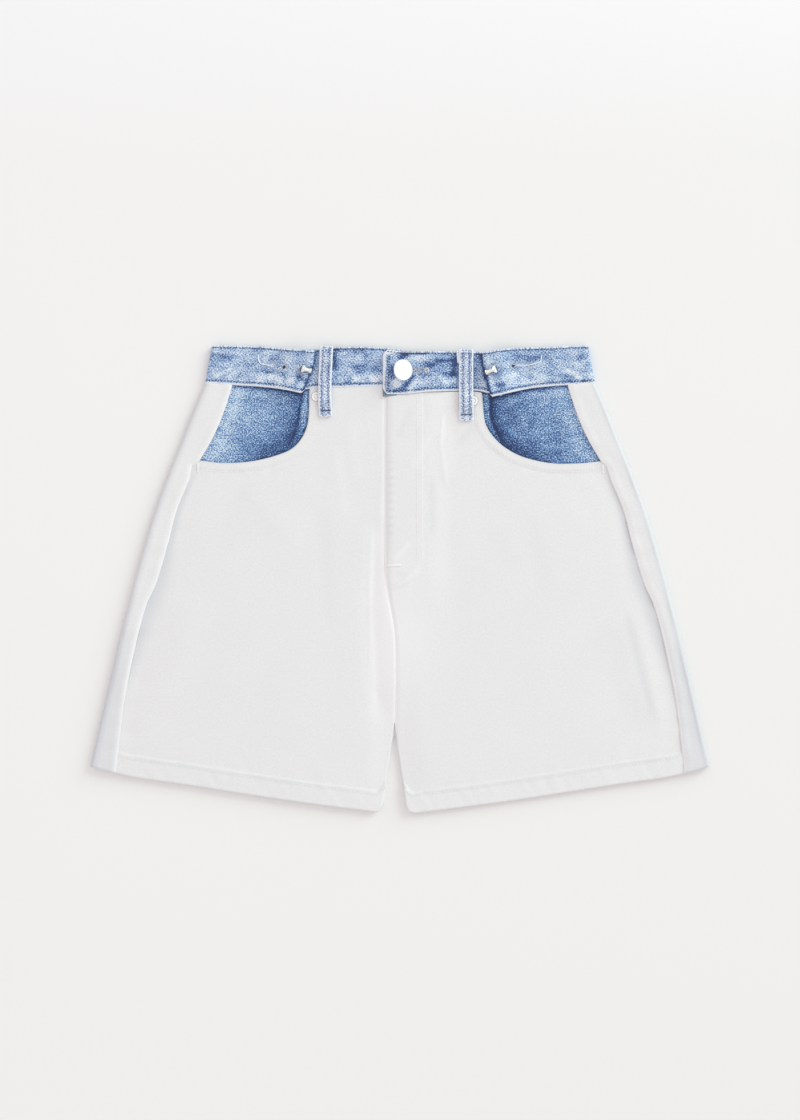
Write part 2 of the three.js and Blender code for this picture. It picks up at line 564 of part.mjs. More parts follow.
// The waistband strip: its path in section at a share of the way from the top edge to the foot
function bandPath(v) {
  const path = [];
  const go = (x, z, run) => path.push({ x, z, y: bandEdgeAt(run, x, v) });
  const turn = (x, from, to, way, runFrom, runTo) => {
    const radius = Math.abs(to - from) / 2;
    for (let s = 0; s <= TURN_STEPS; s += 1) {
      const angle = (s / TURN_STEPS) * Math.PI;
      const bulge = x - way * radius + way * radius * Math.sin(angle);
      const y = mix(bandEdgeAt(runFrom, bulge, v), bandEdgeAt(runTo, bulge, v), s / TURN_STEPS);
      path.push({ x: bulge, z: (from + to) / 2 - (to - from) / 2 * Math.cos(angle), y });
    }
  };
  const sideX = mix(BAND_SIDE.top, BAND_SIDE.foot, v);
  const [left, right] = [PLEATS.left, PLEATS.right];
  const leftEdge = mix(left.top, left.foot, v ** left.bend);
  const rightEdge = mix(right.top, right.foot, v ** right.bend);
  const [flat, fold, high] = [bandLevel(1), bandLevel(2), bandLevel(3)];

  BAND_HIDDEN_X.forEach((x) => go(x, flat, 'leftCentre'));
  turn(leftEdge - left.depth, flat, fold, -1, 'leftCentre', 'leftCentre');
  turn(leftEdge, fold, high, 1, 'leftCentre', 'leftSide');
  RAMP_STEPS.forEach((t) => {
    go(leftEdge - left.depth - t * left.ramp, mix(high, flat, ease(t)), 'leftSide');
  });
  go(-sideX + BAND_SIDE_RUN, SIDE_ROLL_TOP, 'leftSide');
  turn(-sideX, SIDE_ROLL_TOP, bandLevel(0), -1, 'leftSide', 'back');
  BAND_BACK_X.forEach((x) => go(x, bandLevel(0), 'back'));
  turn(sideX, bandLevel(0), SIDE_ROLL_TOP, 1, 'back', 'rightSide');
  go(sideX - BAND_SIDE_RUN, SIDE_ROLL_TOP, 'rightSide');
  [...RAMP_STEPS].reverse().forEach((t) => {
    go(rightEdge + right.depth + t * right.ramp, mix(high, flat, ease(t)), 'rightSide');
  });
  turn(rightEdge, high, fold, -1, 'rightSide', 'rightCentre');
  turn(rightEdge + right.depth, fold, flat, 1, 'rightCentre', 'rightCentre');
  BAND_RIGHT_X.forEach((x) => go(x, flat, 'rightCentre'));
  RAMP_STEPS.forEach((t) => go(mix(TAB.run, TAB.flat, t), mix(flat, fold, ease(t)), 'rightCentre'));
  go(TAB_BUTTON_X, fold, 'rightCentre');
  const width = bandEdgeAt('rightCentre', TAB.end, 0) - bandEdgeAt('rightCentre', TAB.end, 1);
  const fromEdge = Math.min(v, 1 - v) * width;
  const inside = Math.max(0, TAB.corner - fromEdge);
  go(TAB.end + TAB.corner - Math.sqrt(TAB.corner ** 2 - inside ** 2), fold, 'rightCentre');
  return path;
}

function waistband() {
  const paths = BAND_ROWS.map(bandPath);
  const face = (side) => paths.map((path) => path.map((p, i) => {
    const before = path[Math.max(0, i - 1)];
    const after = path[Math.min(path.length - 1, i + 1)];
    const run = new THREE.Vector2(after.x - before.x, after.z - before.z).normalize();
    const out = side * BAND_CLOTH / 2;
    return new THREE.Vector3(p.x - run.y * out, p.y, p.z + run.x * out);
  }));
  const strip = wall(face(1), face(-1));
  const hole = new THREE.Shape();
  hole.absarc(0, 0, BUTTONHOLE.eyelet, BUTTONHOLE.opening, -BUTTONHOLE.opening, false);
  hole.lineTo(BUTTONHOLE.length, -BUTTONHOLE.width / 2);
  hole.lineTo(BUTTONHOLE.length, BUTTONHOLE.width / 2);
  const cut = { depth: BUTTONHOLE.depth, bevelEnabled: false, curveSegments: BUTTONHOLE.steps };
  const slot = new THREE.ExtrudeGeometry(hole, cut);
  slot.translate(BUTTON.x, BUTTON.y, bandTop(1) + LAYER / 2);
  return fromSolid(toSolid(strip).subtract(toSolid(slot)));
}

// A belt loop: a strip down over the band, clear of its rivet, and onto the front panel
function beltLoop(loop) {
  const rivetTop = FRONT_TOP + SEAM + RIVET_HEIGHT;
  const over = Math.max(bandTop(1), rivetTop) + SEAM + LOOP_CLOTH / 2;
  const onPanel = FRONT_TOP + SEAM + LOOP_CLOTH / 2;
  const rows = [
    { y: loop.topY, z: over - LOOP_BEND.topDrop },
    { y: loop.topY - LOOP_BEND.top, z: over },
    { y: loop.low + LOOP_BEND.high, z: over },
    { y: loop.low + LOOP_BEND.mid, z: mix(over, onPanel, 0.5) },
    { y: loop.low - LOOP_BEND.low, z: onPanel },
    { y: loop.footY, z: onPanel },
  ];
  const grid = rows.map((row) => {
    const t = (loop.topY - row.y) / (loop.topY - loop.footY);
    const middle = mix(loop.topX, loop.footX, t);
    return LOOP_COLUMNS.map((c) => ({ x: middle + c * loop.width, y: row.y, z: row.z }));
  });
  return layer(grid, (p) => p.z, () => LOOP_CLOTH);
}

// Shape turned about the vertical from a profile of radius and height
function lathe(profile, sides) {
  const points = profile.map((row) => new THREE.Vector2(row.radius, row.height));
  return new THREE.LatheGeometry(points, sides).rotateX(Math.PI / 2);
}

function rivet(at) {
  const profile = RIVET_PROFILE.map((row) => ({
    radius: row.radius * at.radius,
    height: row.height * RIVET_HEIGHT,
  }));
  return lathe(profile, ROUND_SIDES.rivet).translate(at.x, at.y, FRONT_TOP + SEAM);
}

// Tack button: an upright shank from the hidden end of the band, and a domed head that leans
function tackButton() {
  const lean = THREE.MathUtils.degToRad(BUTTON.tilt);
  const low = bandTop(1) + SEAM;
  const clear = bandTop(2) + SEAM;
  const headZ = clear + BUTTON.radius * Math.sin(lean) + BUTTON.rim * Math.cos(lean);
  const head = lathe(BUTTON_PROFILE, ROUND_SIDES.button).rotateY(lean).translate(BUTTON.x, BUTTON.y, headZ);
  const shank = lathe([
    { radius: 0, height: low },
    { radius: BUTTON.shank, height: low },
    { radius: BUTTON.shank, height: headZ },
    { radius: 0, height: headZ },
  ], ROUND_SIDES.shank).translate(BUTTON.x, BUTTON.y, 0);
  return fromSolid(toSolid(head).add(toSolid(shank)));
}

// Stud: a flange, a shank and a small collar in line, lying on the pleat
function cinchStud(at) {
  const base = bandTop(3) + SEAM;
  const from = new THREE.Vector3(at.flangeX, at.flangeY, base + STUD.flange);
  const to = new THREE.Vector3(at.collarX, at.collarY, base + STUD.collar);
  const length = from.distanceTo(to);
  const flangeTop = STUD.flangeThick / 2;
  const stud = lathe([
    { radius: 0, height: -flangeTop },
    { radius: STUD.flangeRim, height: -flangeTop },
    { radius: STUD.flange, height: 0 },
    { radius: STUD.flangeRim, height: flangeTop },
    { radius: STUD.shank, height: flangeTop + STUD.fillet },
    { radius: STUD.shank, height: length - STUD.collarThick },
    { radius: STUD.collar, height: length - STUD.collarThick + STUD.collarBevel },
    { radius: STUD.collar, height: length },
    { radius: 0, height: length },
  ], ROUND_SIDES.stud);
  const way = to.clone().sub(from).normalize();
  const turn = new THREE.Quaternion().setFromUnitVectors(new THREE.Vector3(0, 0, 1), way);
  return stud.applyQuaternion(turn).translate(from.x, from.y, from.z + STUD.lift);
}

// Materials, by what each piece is made of
const cloth = (color) => new THREE.MeshStandardMaterial({ color, roughness: 0.9, metalness: 0 });
const MATERIALS = {
  ecru: cloth('#e6e6e5'),
  blue: cloth('#7f9dc8'),
  pocketBlue: cloth('#5f86bd'),
  loopBlue: cloth('#9fb2d2'),
  enamel: new THREE.MeshStandardMaterial({ color: '#fbfbfb', roughness: 0.35, metalness: 0.1 }),
  steel: new THREE.MeshStandardMaterial({ color: '#d9d4c8', roughness: 0.3, metalness: 0.9 }),
};

const group = new THREE.Group();
function add(name, geometry, material) {
  const mesh = new THREE.Mesh(geometry, material);
  mesh.name = name;
  group.add(mesh);
}

const SIDES = [{ name: 'left', side: -1 }, { name: 'right', side: 1 }];
SIDES.forEach(({ name, side }) => {
  add(`back_panel_${name}`, backPanel(side), MATERIALS.ecru);
  add(`pocket_facing_${name}`, pocketFacing(side), MATERIALS.pocketBlue);
  add(`front_panel_${name}`, frontPanel(side), MATERIALS.ecru);
  add(`belt_loop_${name}`, beltLoop(LOOPS[name]), MATERIALS.loopBlue);
  add(`rivet_${name}`, rivet(RIVETS[name]), MATERIALS.enamel);
  add(`cinch_stud_${name}`, cinchStud(STUDS[name]), MATERIALS.steel);
});
add('waistband', waistband(), MATERIALS.blue);
add('button', tackButton(), MATERIALS.enamel);

export default group;
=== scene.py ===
# Denim shorts lying flat, front up: the looks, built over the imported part. Metres, +Z up; the tables
# and shapes below are in millimetres and are scaled once, where a mesh is made.
import math

import bpy
import numpy as np
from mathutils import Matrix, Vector
from mathutils.bvhtree import BVHTree


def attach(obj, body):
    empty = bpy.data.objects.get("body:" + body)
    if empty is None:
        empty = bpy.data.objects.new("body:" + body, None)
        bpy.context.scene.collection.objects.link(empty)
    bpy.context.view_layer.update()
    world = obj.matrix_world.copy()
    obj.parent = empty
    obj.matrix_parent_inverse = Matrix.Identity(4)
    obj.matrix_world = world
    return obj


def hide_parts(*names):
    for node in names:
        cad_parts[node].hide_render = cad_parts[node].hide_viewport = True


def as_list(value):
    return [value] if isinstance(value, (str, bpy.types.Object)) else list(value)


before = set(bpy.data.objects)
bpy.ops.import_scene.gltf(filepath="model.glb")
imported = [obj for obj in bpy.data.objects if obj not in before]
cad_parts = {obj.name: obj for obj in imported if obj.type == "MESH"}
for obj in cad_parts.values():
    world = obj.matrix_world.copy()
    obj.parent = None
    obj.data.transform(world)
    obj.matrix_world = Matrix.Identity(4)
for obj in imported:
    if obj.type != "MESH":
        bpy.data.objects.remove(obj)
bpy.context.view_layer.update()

MM = 0.001
SIDE_NAME = {-1: "left", 1: "right"}

# Cloth thicknesses and the levels of the layers, as on the solids
CLOTH = 1.3
FACING_CLOTH = 1.1
BAND_CLOTH = 2.4
LOOP_CLOTH = 1.8
HEM_CLOTH = 2.2
HEM_WIDTH = 16.5
HEM_STEP = 1.6
SEAM = 0.3
LAYER = 0.4
LEG_LAYER = 0.7
FACING_LOW = CLOTH + SEAM
FRONT_LOW = FACING_LOW + FACING_CLOTH + LAYER
FRONT_TOP = FRONT_LOW + CLOTH
BAND_PITCH = BAND_CLOTH + LAYER


def band_level(layer):
    return BAND_CLOTH / 2 + layer * BAND_PITCH


def band_top(layer):
    return band_level(layer) + BAND_CLOTH / 2


def columns(names, rows):
    return {name: np.array([row[i] for row in rows], float) for i, name in enumerate(names)}


# Half outline at the side roll, the side seam on the front, and the roll's height
SIDE = columns(("y", "roll", "seam", "height"), [
    (-178.0, 291.0, 267.0, 6.2),
    (-115.0, 276.8, 259.3, 6.2),
    (-80.0, 268.6, 252.5, 6.2),
    (-47.0, 261.0, 245.0, 6.2),
    (-24.0, 255.0, 238.3, 6.2),
    (-4.0, 250.0, 229.3, 6.2),
    (34.0, 239.3, 218.0, 6.1),
    (66.0, 229.3, 209.5, 6.0),
    (103.0, 215.7, 193.0, 5.9),
    (129.0, 205.0, 178.0, 5.8),
    (150.0, 197.0, 168.3, 5.7),
    (176.0, 186.0, 159.5, 5.5),
    (183.0, 182.5, 157.5, 5.4),
])
SEAM_DROP = 0.9

# Hem line of both legs, by distance from the middle
HEM = columns(("x", "y"), [
    (14.0, -218.9),
    (66.0, -212.4),
    (117.0, -205.4),
    (195.0, -193.2),
    (250.0, -185.2),
    (267.0, -181.4),
    (291.0, -175.8),
])
HEM_CORNER = 7.0
BACK_HEM_SHORTER = 1.2

# Edge of the lapped front, and the spread of each leg from the middle of the gap
CROTCH_X, CROTCH_Y = -5.3, -135.1
FLY_EDGE = columns(("y", "x"), [
    (CROTCH_Y, CROTCH_X),
    (-101.8, -4.7),
    (-63.0, -5.0),
    (-44.0, -6.6),
    (-7.0, -12.8),
    (15.6, -14.4),
    (183.0, -14.4),
])
FLY_LAP = 10.0
FLY_LAP_LOW, FLY_LAP_HIGH = 20.0, 46.0
FLY_RISE = {"value": CLOTH + LAYER, "low": -50.0, "high": 12.0, "wide": 24.0, "fade": 26.0}
INNER_LEG = columns(("y", "spread"), [
    (-212.0, 11.2),
    (-194.8, 8.7),
    (-170.4, 4.9),
    (CROTCH_Y, SEAM / 2),
])
INNER_LEG_FADE = 26.0
BACK_SEAM_TOP_X = 0.0

# How far down a front's side the pocket mouth ends, and down its fly the crotch, as shares
MOUTH_ROW, CROTCH_ROW = 0.35, 0.79

# Top and foot edges of the waistband on each visible run and on the back
BAND_COLUMNS = ("x", "top", "foot")
BAND_EDGES = {
    "left_centre": columns(BAND_COLUMNS, [
        (-95.0, 214.4, 176.6),
        (-77.5, 215.2, 179.3),
        (-61.0, 217.2, 179.5),
        (-16.0, 216.7, 180.7),
        (24.0, 211.5, 180.4),
    ]),
    "left_side": columns(BAND_COLUMNS, [
        (-182.0, 218.7, 183.4),
        (-158.9, 218.5, 182.1),
        (-128.8, 217.6, 180.2),
        (-110.0, 216.0, 177.6),
        (-82.0, 213.4, 171.6),
    ]),
    "right_centre": columns(BAND_COLUMNS, [
        (-16.0, 215.6, 172.6),
        (4.4, 213.4, 173.0),
        (25.0, 213.1, 175.3),
        (55.5, 213.1, 176.5),
        (73.3, 212.7, 176.3),
        (92.0, 212.0, 172.0),
    ]),
    "right_side": columns(BAND_COLUMNS, [
        (78.0, 212.3, 168.4),
        (103.0, 216.0, 174.4),
        (121.6, 216.8, 178.6),
        (142.3, 217.3, 180.9),
        (158.9, 218.1, 182.1),
        (182.0, 218.7, 183.4),
    ]),
    "back": columns(BAND_COLUMNS, [
        (-182.0, 218.7, 183.4),
        (-90.0, 212.6, 178.6),
        (0.0, 211.2, 177.6),
        (90.0, 211.0, 177.6),
        (182.0, 218.7, 183.4),
    ]),
}
BAND_SIDE_TOP, BAND_SIDE_FOOT = 175.3, 182.0
BAND_HIDDEN_END_X = 24.0
TAB_END, TAB_CORNER, TAB_FLAT, TAB_RUN = -15.8, 7.5, 26.0, 56.0
PLEATS = {
    -1: {"top": -81.5, "foot": -91.5, "bend": 1.9, "depth": 9.5, "ramp": 30.0, "shade": 0.4},
    1: {"top": 78.4, "foot": 85.6, "bend": 1.6, "depth": 9.5, "ramp": 30.0, "shade": 1.4},
}

# Pocket mouths from the band down and outward to the side seam
MOUTH = {
    -1: [(-84.6, 178.0), (-85.0, 156.7), (-87.0, 142.6), (-92.5, 131.0), (-102.0, 121.5),
         (-118.0, 115.0), (-140.0, 110.0), (-165.0, 108.5), (-189.1, 111.1)],
    1: [(76.6, 174.0), (78.1, 153.9), (80.9, 142.6), (88.5, 131.7), (99.5, 122.2),
        (116.0, 114.0), (140.0, 108.6), (165.0, 108.1), (189.5, 110.3)],
}
FACING = {
    -1: {"inner": 66.0, "inner_low": 76.0, "inner_y": 118.0, "outer_y": 86.0},
    1: {"inner": 57.0, "inner_low": 70.0, "inner_y": 118.0, "outer_y": 86.0},
}

# Soft folds of the fronts: a ridge or a dip between two points
FOLD_COLUMNS = ("x0", "y0", "x1", "y1", "height", "width")
FRONT_FOLDS = columns(FOLD_COLUMNS, [
    (-18, 52, -28, -20, -0.9, 9),
    (-28, -20, -22, -128, -0.9, 9),
    (209, -37, 234, -131, 0.9, 16),
    (-196, -20, -222, -118, 0.7, 18),
    (41, 140, 46, 92, 0.5, 7),
    (-150, 70, -96, 40, 0.5, 20),
    (96, 30, 168, 66, 0.5, 20),
])


def mix(a, b, t):
    return a + (b - a) * t


def ease(t):
    t = np.clip(t, 0, 1)
    return t * t * (3 - 2 * t)


def bump(distance, width):
    return np.exp(-((distance / width) ** 2))


def unit(v):
    """Directions along the last axis, brought to length one."""
    return v / np.maximum(np.linalg.norm(v, axis=-1, keepdims=True), 1e-9)


def crease(x, y, x0, y0, x1, y1, width, fade=5, lead=0.6):
    """Share from 0 to 1 of a crease between two points, fading at its ends."""
    dx, dy = x1 - x0, y1 - y0
    length = math.hypot(dx, dy)
    t = ((x - x0) * dx + (y - y0) * dy) / length ** 2
    off = ((x - x0) * dy - (y - y0) * dx) / length
    return ease(t * fade + lead) * ease((1 - t) * fade + lead) * bump(off, width)


def fold_height(x, y, folds):
    total = np.zeros(np.shape(x))
    for x0, y0, x1, y1, height, width in zip(*(folds[k] for k in FOLD_COLUMNS)):
        total = total + height * crease(x, y, x0, y0, x1, y1, width, 4, 0.5)
    return total


def along(table, key, column, at):
    """Value of a column on a smooth curve through the table's rows, which rise in their key."""
    keys, values = table[key], table[column]
    if keys[0] > keys[-1]:
        keys, values = keys[::-1], values[::-1]
    at = np.clip(np.asarray(at, float), keys[0], keys[-1])
    i = np.clip(np.searchsorted(keys, at, side="right") - 1, 0, len(keys) - 2)
    low = np.maximum(np.arange(len(keys)) - 1, 0)
    high = np.minimum(np.arange(len(keys)) + 1, len(keys) - 1)
    slope = (values[high] - values[low]) / (keys[high] - keys[low])
    span = keys[i + 1] - keys[i]
    t = (at - keys[i]) / span
    t2, t3 = t * t, t * t * t
    return ((2 * t3 - 3 * t2 + 1) * values[i] + (t3 - 2 * t2 + t) * span * slope[i]
            + (3 * t2 - 2 * t3) * values[i + 1] + (t3 - t2) * span * slope[i + 1])


def roll_at(y):
    return along(SIDE, "y", "roll", y)


def seam_at(y):
    return along(SIDE, "y", "seam", y)


def roll_height_at(y):
    return along(SIDE, "y", "height", y)


def leg_spread_at(y):
    return along(INNER_LEG, "y", "spread", y)


def inside_seam(x, y):
    """How far inside the side seam a point of the front lies."""
    return seam_at(y) - np.abs(x)


def beyond_fly(x, y):
    """How far to the right of the lapped front's edge a point lies."""
    return x - along(FLY_EDGE, "y", "x", y)


def hem_at(x):
    inside = np.maximum(0, HEM_CORNER - (np.abs(x - CROTCH_X) - INNER_LEG["spread"][0]))
    lift = HEM_CORNER - np.sqrt(np.maximum(0, HEM_CORNER ** 2 - inside ** 2))
    return along(HEM, "x", "y", np.abs(x)) + lift


def band_edge_at(run, x, v):
    rows = BAND_EDGES[run]
    return mix(along(rows, "x", "top", x), along(rows, "x", "foot", x), v)


def uneven(x, y, size, seed):
    """Smooth noise from -1 to 1 with features of about this size."""
    cells = 64
    lattice = np.random.RandomState(seed).uniform(-1, 1, (cells, cells))
    u, v = np.asarray(x) / size + 0.37 * seed, np.asarray(y) / size
    i, j = np.floor(u).astype(int), np.floor(v).astype(int)
    s, t = ease(u - i), ease(v - j)

    def at(a, b):
        return lattice[a % cells, b % cells]

    return mix(mix(at(i, j), at(i + 1, j), s), mix(at(i, j + 1), at(i + 1, j + 1), s), t)


def ripple(height, distance, width, x, y, size, seed):
    """Uneven waves of this height that die away from a line."""
    return height * bump(distance, width) * uneven(x, y, size, seed)


def spline(points, count):
    """Evenly spaced points on a smooth curve through the given ones."""
    p = np.array(points, float)
    p = np.vstack([2 * p[0] - p[1], p, 2 * p[-1] - p[-2]])
    fine = []
    for i in range(1, len(p) - 2):
        for t in np.linspace(0, 1, 24, endpoint=False):
            a, b, c, d = p[i - 1:i + 3]
            fine.append(0.5 * (2 * b + (c - a) * t + (2 * a - 5 * b + 4 * c - d) * t * t
                               + (3 * b - a - 3 * c + d) * t ** 3))
    fine.append(p[-2])
    return evenly(np.array(fine), count)


def lengths(line):
    steps = np.linalg.norm(np.diff(line, axis=0), axis=1)
    return np.concatenate([[0], np.cumsum(steps)])


def evenly(line, count):
    run = lengths(line)
    at = np.linspace(0, run[-1], count)
    return np.stack([np.interp(at, run, line[:, k]) for k in range(line.shape[1])], axis=1)


def distance_to(line, x, y):
    """Distance in plan from each point to a polyline."""
    best = np.full(np.shape(x), np.inf)
    for a, b in zip(line[:-1], line[1:]):
        d = b - a
        t = np.clip(((x - a[0]) * d[0] + (y - a[1]) * d[1]) / max(d @ d, 1e-9), 0, 1)
        best = np.minimum(best, np.hypot(x - a[0] - t * d[0], y - a[1] - t * d[1]))
    return best


def pair(x, y):
    return np.stack([x, y], axis=-1)


def inner_line(side, top_y, foot_y, middle, spread_at):
    """Line from the band down to the crotch and along the inner leg, for shares from 0 to 1."""

    def line(r):
        y = np.where(r < CROTCH_ROW, mix(top_y, CROTCH_Y, r / CROTCH_ROW),
                     mix(CROTCH_Y, foot_y, (r - CROTCH_ROW) / (1 - CROTCH_ROW)))
        return pair(np.where(y < CROTCH_Y, CROTCH_X + side * spread_at(y), middle(y)), y)

    return line


def patch(top, foot, start, end, across, down):
    """Grid inside four edges, each a function of 0 to 1 that gives points in plan."""
    c, r = across[None, :, None], down[:, None, None]
    t, f = top(across)[None], foot(across)[None]
    s, e = start(down)[:, None], end(down)[:, None]
    ends = np.array([0.0, 1.0])
    (s0, s1), (e0, e1) = start(ends), end(ends)
    corners = mix(mix(s0, e0, c), mix(s1, e1, c), r)
    return mix(s, e, c) + mix(t, f, r) - corners


# Meshes
RIM_STEPS = 3


def rim_loop(rows, cols):
    """Indices round the edge of a grid, each with its neighbour inside."""
    edge = [(0, c, 1, c) for c in range(cols - 1)]
    edge += [(r, cols - 1, r, cols - 2) for r in range(rows - 1)]
    edge += [(rows - 1, c, rows - 2, c) for c in range(cols - 1, 0, -1)]
    edge += [(r, 0, r, 1) for r in range(rows - 1, 0, -1)]
    corners = {(0, 0): (1, 1), (0, cols - 1): (1, cols - 2),
               (rows - 1, cols - 1): (rows - 2, cols - 2), (rows - 1, 0): (rows - 2, 1)}
    out = []
    for r, c, ri, ci in edge:
        ri, ci = corners.get((r, c), (ri, ci))
        out.append((r * cols + c, ri * cols + ci))
    return np.array(out)


def shell(name, top, under, weave, masks=None):
    """Closed cloth wall between two grids of points in millimetres, with round edges all the way."""
    rows, cols = top.shape[:2]
    n = rows * cols
    t, u = top.reshape(-1, 3), under.reshape(-1, 3)
    edge = rim_loop(rows, cols)
    middle = (t[edge[:, 0]] + u[edge[:, 0]]) / 2
    inside = (t[edge[:, 1]] + u[edge[:, 1]]) / 2
    out = unit(middle - inside)
    half = (t[edge[:, 0]] - u[edge[:, 0]]) / 2
    thick = np.linalg.norm(half, axis=1, keepdims=True)
    rings = [middle + half * math.cos(a) + out * thick * math.sin(a)
             for a in np.linspace(0, math.pi, RIM_STEPS + 2)[1:-1]]
    points = np.vstack([t, u] + rings)
    grid = np.arange(n).reshape(rows, cols)
    quads = np.stack([grid[:-1, :-1], grid[:-1, 1:], grid[1:, 1:], grid[1:, :-1]], axis=-1)
    quads = quads.reshape(-1, 4)
    faces = [quads, quads[:, ::-1] + n]
    count = len(edge)
    rims = [2 * n + k * count + np.arange(count) for k in range(RIM_STEPS)]
    ids = [edge[:, 0]] + rims + [edge[:, 0] + n]
    for a, b in zip(ids[:-1], ids[1:]):
        faces.append(np.stack([np.roll(a, -1), a, b, np.roll(b, -1)], axis=-1))
    faces = np.vstack(faces)
    p = points[faces]
    volume = (np.cross(p[:, 1] - p[:, 0], p[:, 2] - p[:, 0]) * p[:, 0]).sum() \
        + (np.cross(p[:, 2] - p[:, 0], p[:, 3] - p[:, 0]) * p[:, 0]).sum()
    if volume < 0:
        faces = faces[:, ::-1]
    piece = mesh_of(name, points, faces.tolist())
    w = weave.reshape(-1, 2)
    at_rim = w[edge[:, 0]]
    lay = np.vstack([w, w] + [at_rim] * RIM_STEPS)
    write_vector(piece, "weave", lay * MM)
    for mask, values in (masks or {}).items():
        m = values.reshape(-1)
        rim = m[edge[:, 0]]
        write_value(piece, mask, np.concatenate([m, m * 0] + [rim] * RIM_STEPS))
    return piece


def cloth(name, x, y, low, high, weave, masks=None):
    """Cloth wall between two heights over a plan."""
    return shell(name, np.dstack([x, y, high]), np.dstack([x, y, low]), weave, masks)


def mesh_of(name, points, faces):
    mesh = bpy.data.meshes.new(name)
    mesh.from_pydata((np.asarray(points) * MM).tolist(), [], faces)
    mesh.shade_smooth()
    mesh.update()
    piece = bpy.data.objects.new(name, mesh)
    bpy.context.collection.objects.link(piece)
    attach(piece, "root")
    return piece


def write_value(piece, name, values):
    made = piece.data.attributes.new(name, "FLOAT", "POINT")
    made.data.foreach_set("value", np.asarray(values, np.float32))


def write_vector(piece, name, plan):
    made = piece.data.attributes.new(name, "FLOAT_VECTOR", "POINT")
    full = np.concatenate([plan, np.zeros((len(plan), 1))], axis=1)
    made.data.foreach_set("vector", full.astype(np.float32).ravel())


# Shader graphs
class Graph:
    """A material under construction: small helpers that add a node and return its output."""

    def __init__(self, name, roughness, **shader):
        self.material = bpy.data.materials.new(name)
        self.material.use_nodes = True
        self.tree = self.material.node_tree
        self.shader = self.tree.nodes["Principled BSDF"]
        self.shader.inputs["Roughness"].default_value = roughness
        for key, value in shader.items():
            self.shader.inputs[key.replace("_", " ")].default_value = value

    def node(self, kind, inputs=None, **settings):
        made = self.tree.nodes.new(kind)
        for key, value in settings.items():
            setattr(made, key, value)
        for key, value in (inputs or {}).items():
            self.put(made.inputs[key], value)
        return made

    def put(self, socket, value):
        if isinstance(value, bpy.types.NodeSocket):
            self.tree.links.new(value, socket)
        else:
            socket.default_value = value

    def math(self, operation, a, b, clamp=False):
        made = self.node("ShaderNodeMath", {0: a, 1: b}, operation=operation, use_clamp=clamp)
        return made.outputs[0]

    def plus(self, a, b, clamp=False):
        return self.math("ADD", a, b, clamp)

    def times(self, a, b, clamp=False):
        return self.math("MULTIPLY", a, b, clamp)

    def minus(self, a, b):
        return self.math("SUBTRACT", a, b)

    def mixed(self, share, a, b):
        made = self.node("ShaderNodeMix", {0: share, 6: a, 7: b}, data_type="RGBA")
        return made.outputs[2]

    def attribute(self, name, output="Fac"):
        return self.node("ShaderNodeAttribute", attribute_name=name).outputs[output]

    def stretched(self, vector, scale, turn=0.0):
        made = self.node("ShaderNodeMapping", {"Vector": vector, "Scale": scale,
                                               "Rotation": (0, 0, turn)})
        return made.outputs[0]

    def noise(self, vector, size, detail=3.0, rough=0.55):
        """Noise from 0 to 1 with features of about this size in millimetres."""
        made = self.node("ShaderNodeTexNoise", {"Vector": vector, "Scale": 1 / (size * MM),
                                                "Detail": detail, "Roughness": rough})
        return made.outputs["Fac"]

    def bands(self, vector, spacing, turn, wobble=0.6):
        """Fine parallel lines this many millimetres apart."""
        turned = self.stretched(vector, (1, 1, 1), turn)
        scale = 2 * math.pi / (20 * spacing * MM)
        made = self.node("ShaderNodeTexWave", {"Vector": turned, "Scale": scale, "Distortion": wobble,
                                               "Detail": 2.0, "Detail Scale": 0.4})
        return made.outputs["Fac"]

    def ramp(self, share, stops):
        made = self.node("ShaderNodeValToRGB", {"Fac": share})
        elements = made.color_ramp.elements
        while len(elements) < len(stops):
            elements.new(0.5)
        for element, (position, colour) in zip(elements, stops):
            element.position = position
            element.color = opaque(colour)
        return made.outputs["Color"]

    def raise_by(self, height, distance, strength=1.0):
        """Bump of this many millimetres from a height of 0 to 1."""
        made = self.node("ShaderNodeBump", {"Height": height, "Distance": distance * MM,
                                            "Strength": strength})
        self.put(self.shader.inputs["Normal"], made.outputs[0])

    def colour(self, value):
        self.put(self.shader.inputs["Base Color"], value)
        return self.material


def srgb(r, g, b):
    """Linear colour from one given on the usual 0 to 255 scale."""
    return tuple(((c / 255 + 0.055) / 1.055) ** 2.4 if c > 10 else c / 3294.6 for c in (r, g, b))


TWILL_TURN = math.radians(-45)
TWILL_SPACING = 2.5
WASH_GAIN = {"cloud": 0.8, "blotch": 1.1, "fleck": 2.9, "twill": 0.3}
ECRU_GAIN = {"cloud": 0.12, "fleck": 0.55, "twill": 0.012}


def spread_about(g, value, gain):
    """The value's swing about one half, times the gain."""
    return g.times(g.minus(value, 0.5), gain)


def opaque(tone):
    return (*tone, 1)


ECRU_PALE, ECRU_GREY = srgb(235, 235, 236), srgb(200, 200, 201)
ECRU_SHADE, ECRU_HIGHLIGHT = srgb(186, 192, 201), srgb(251, 251, 251)


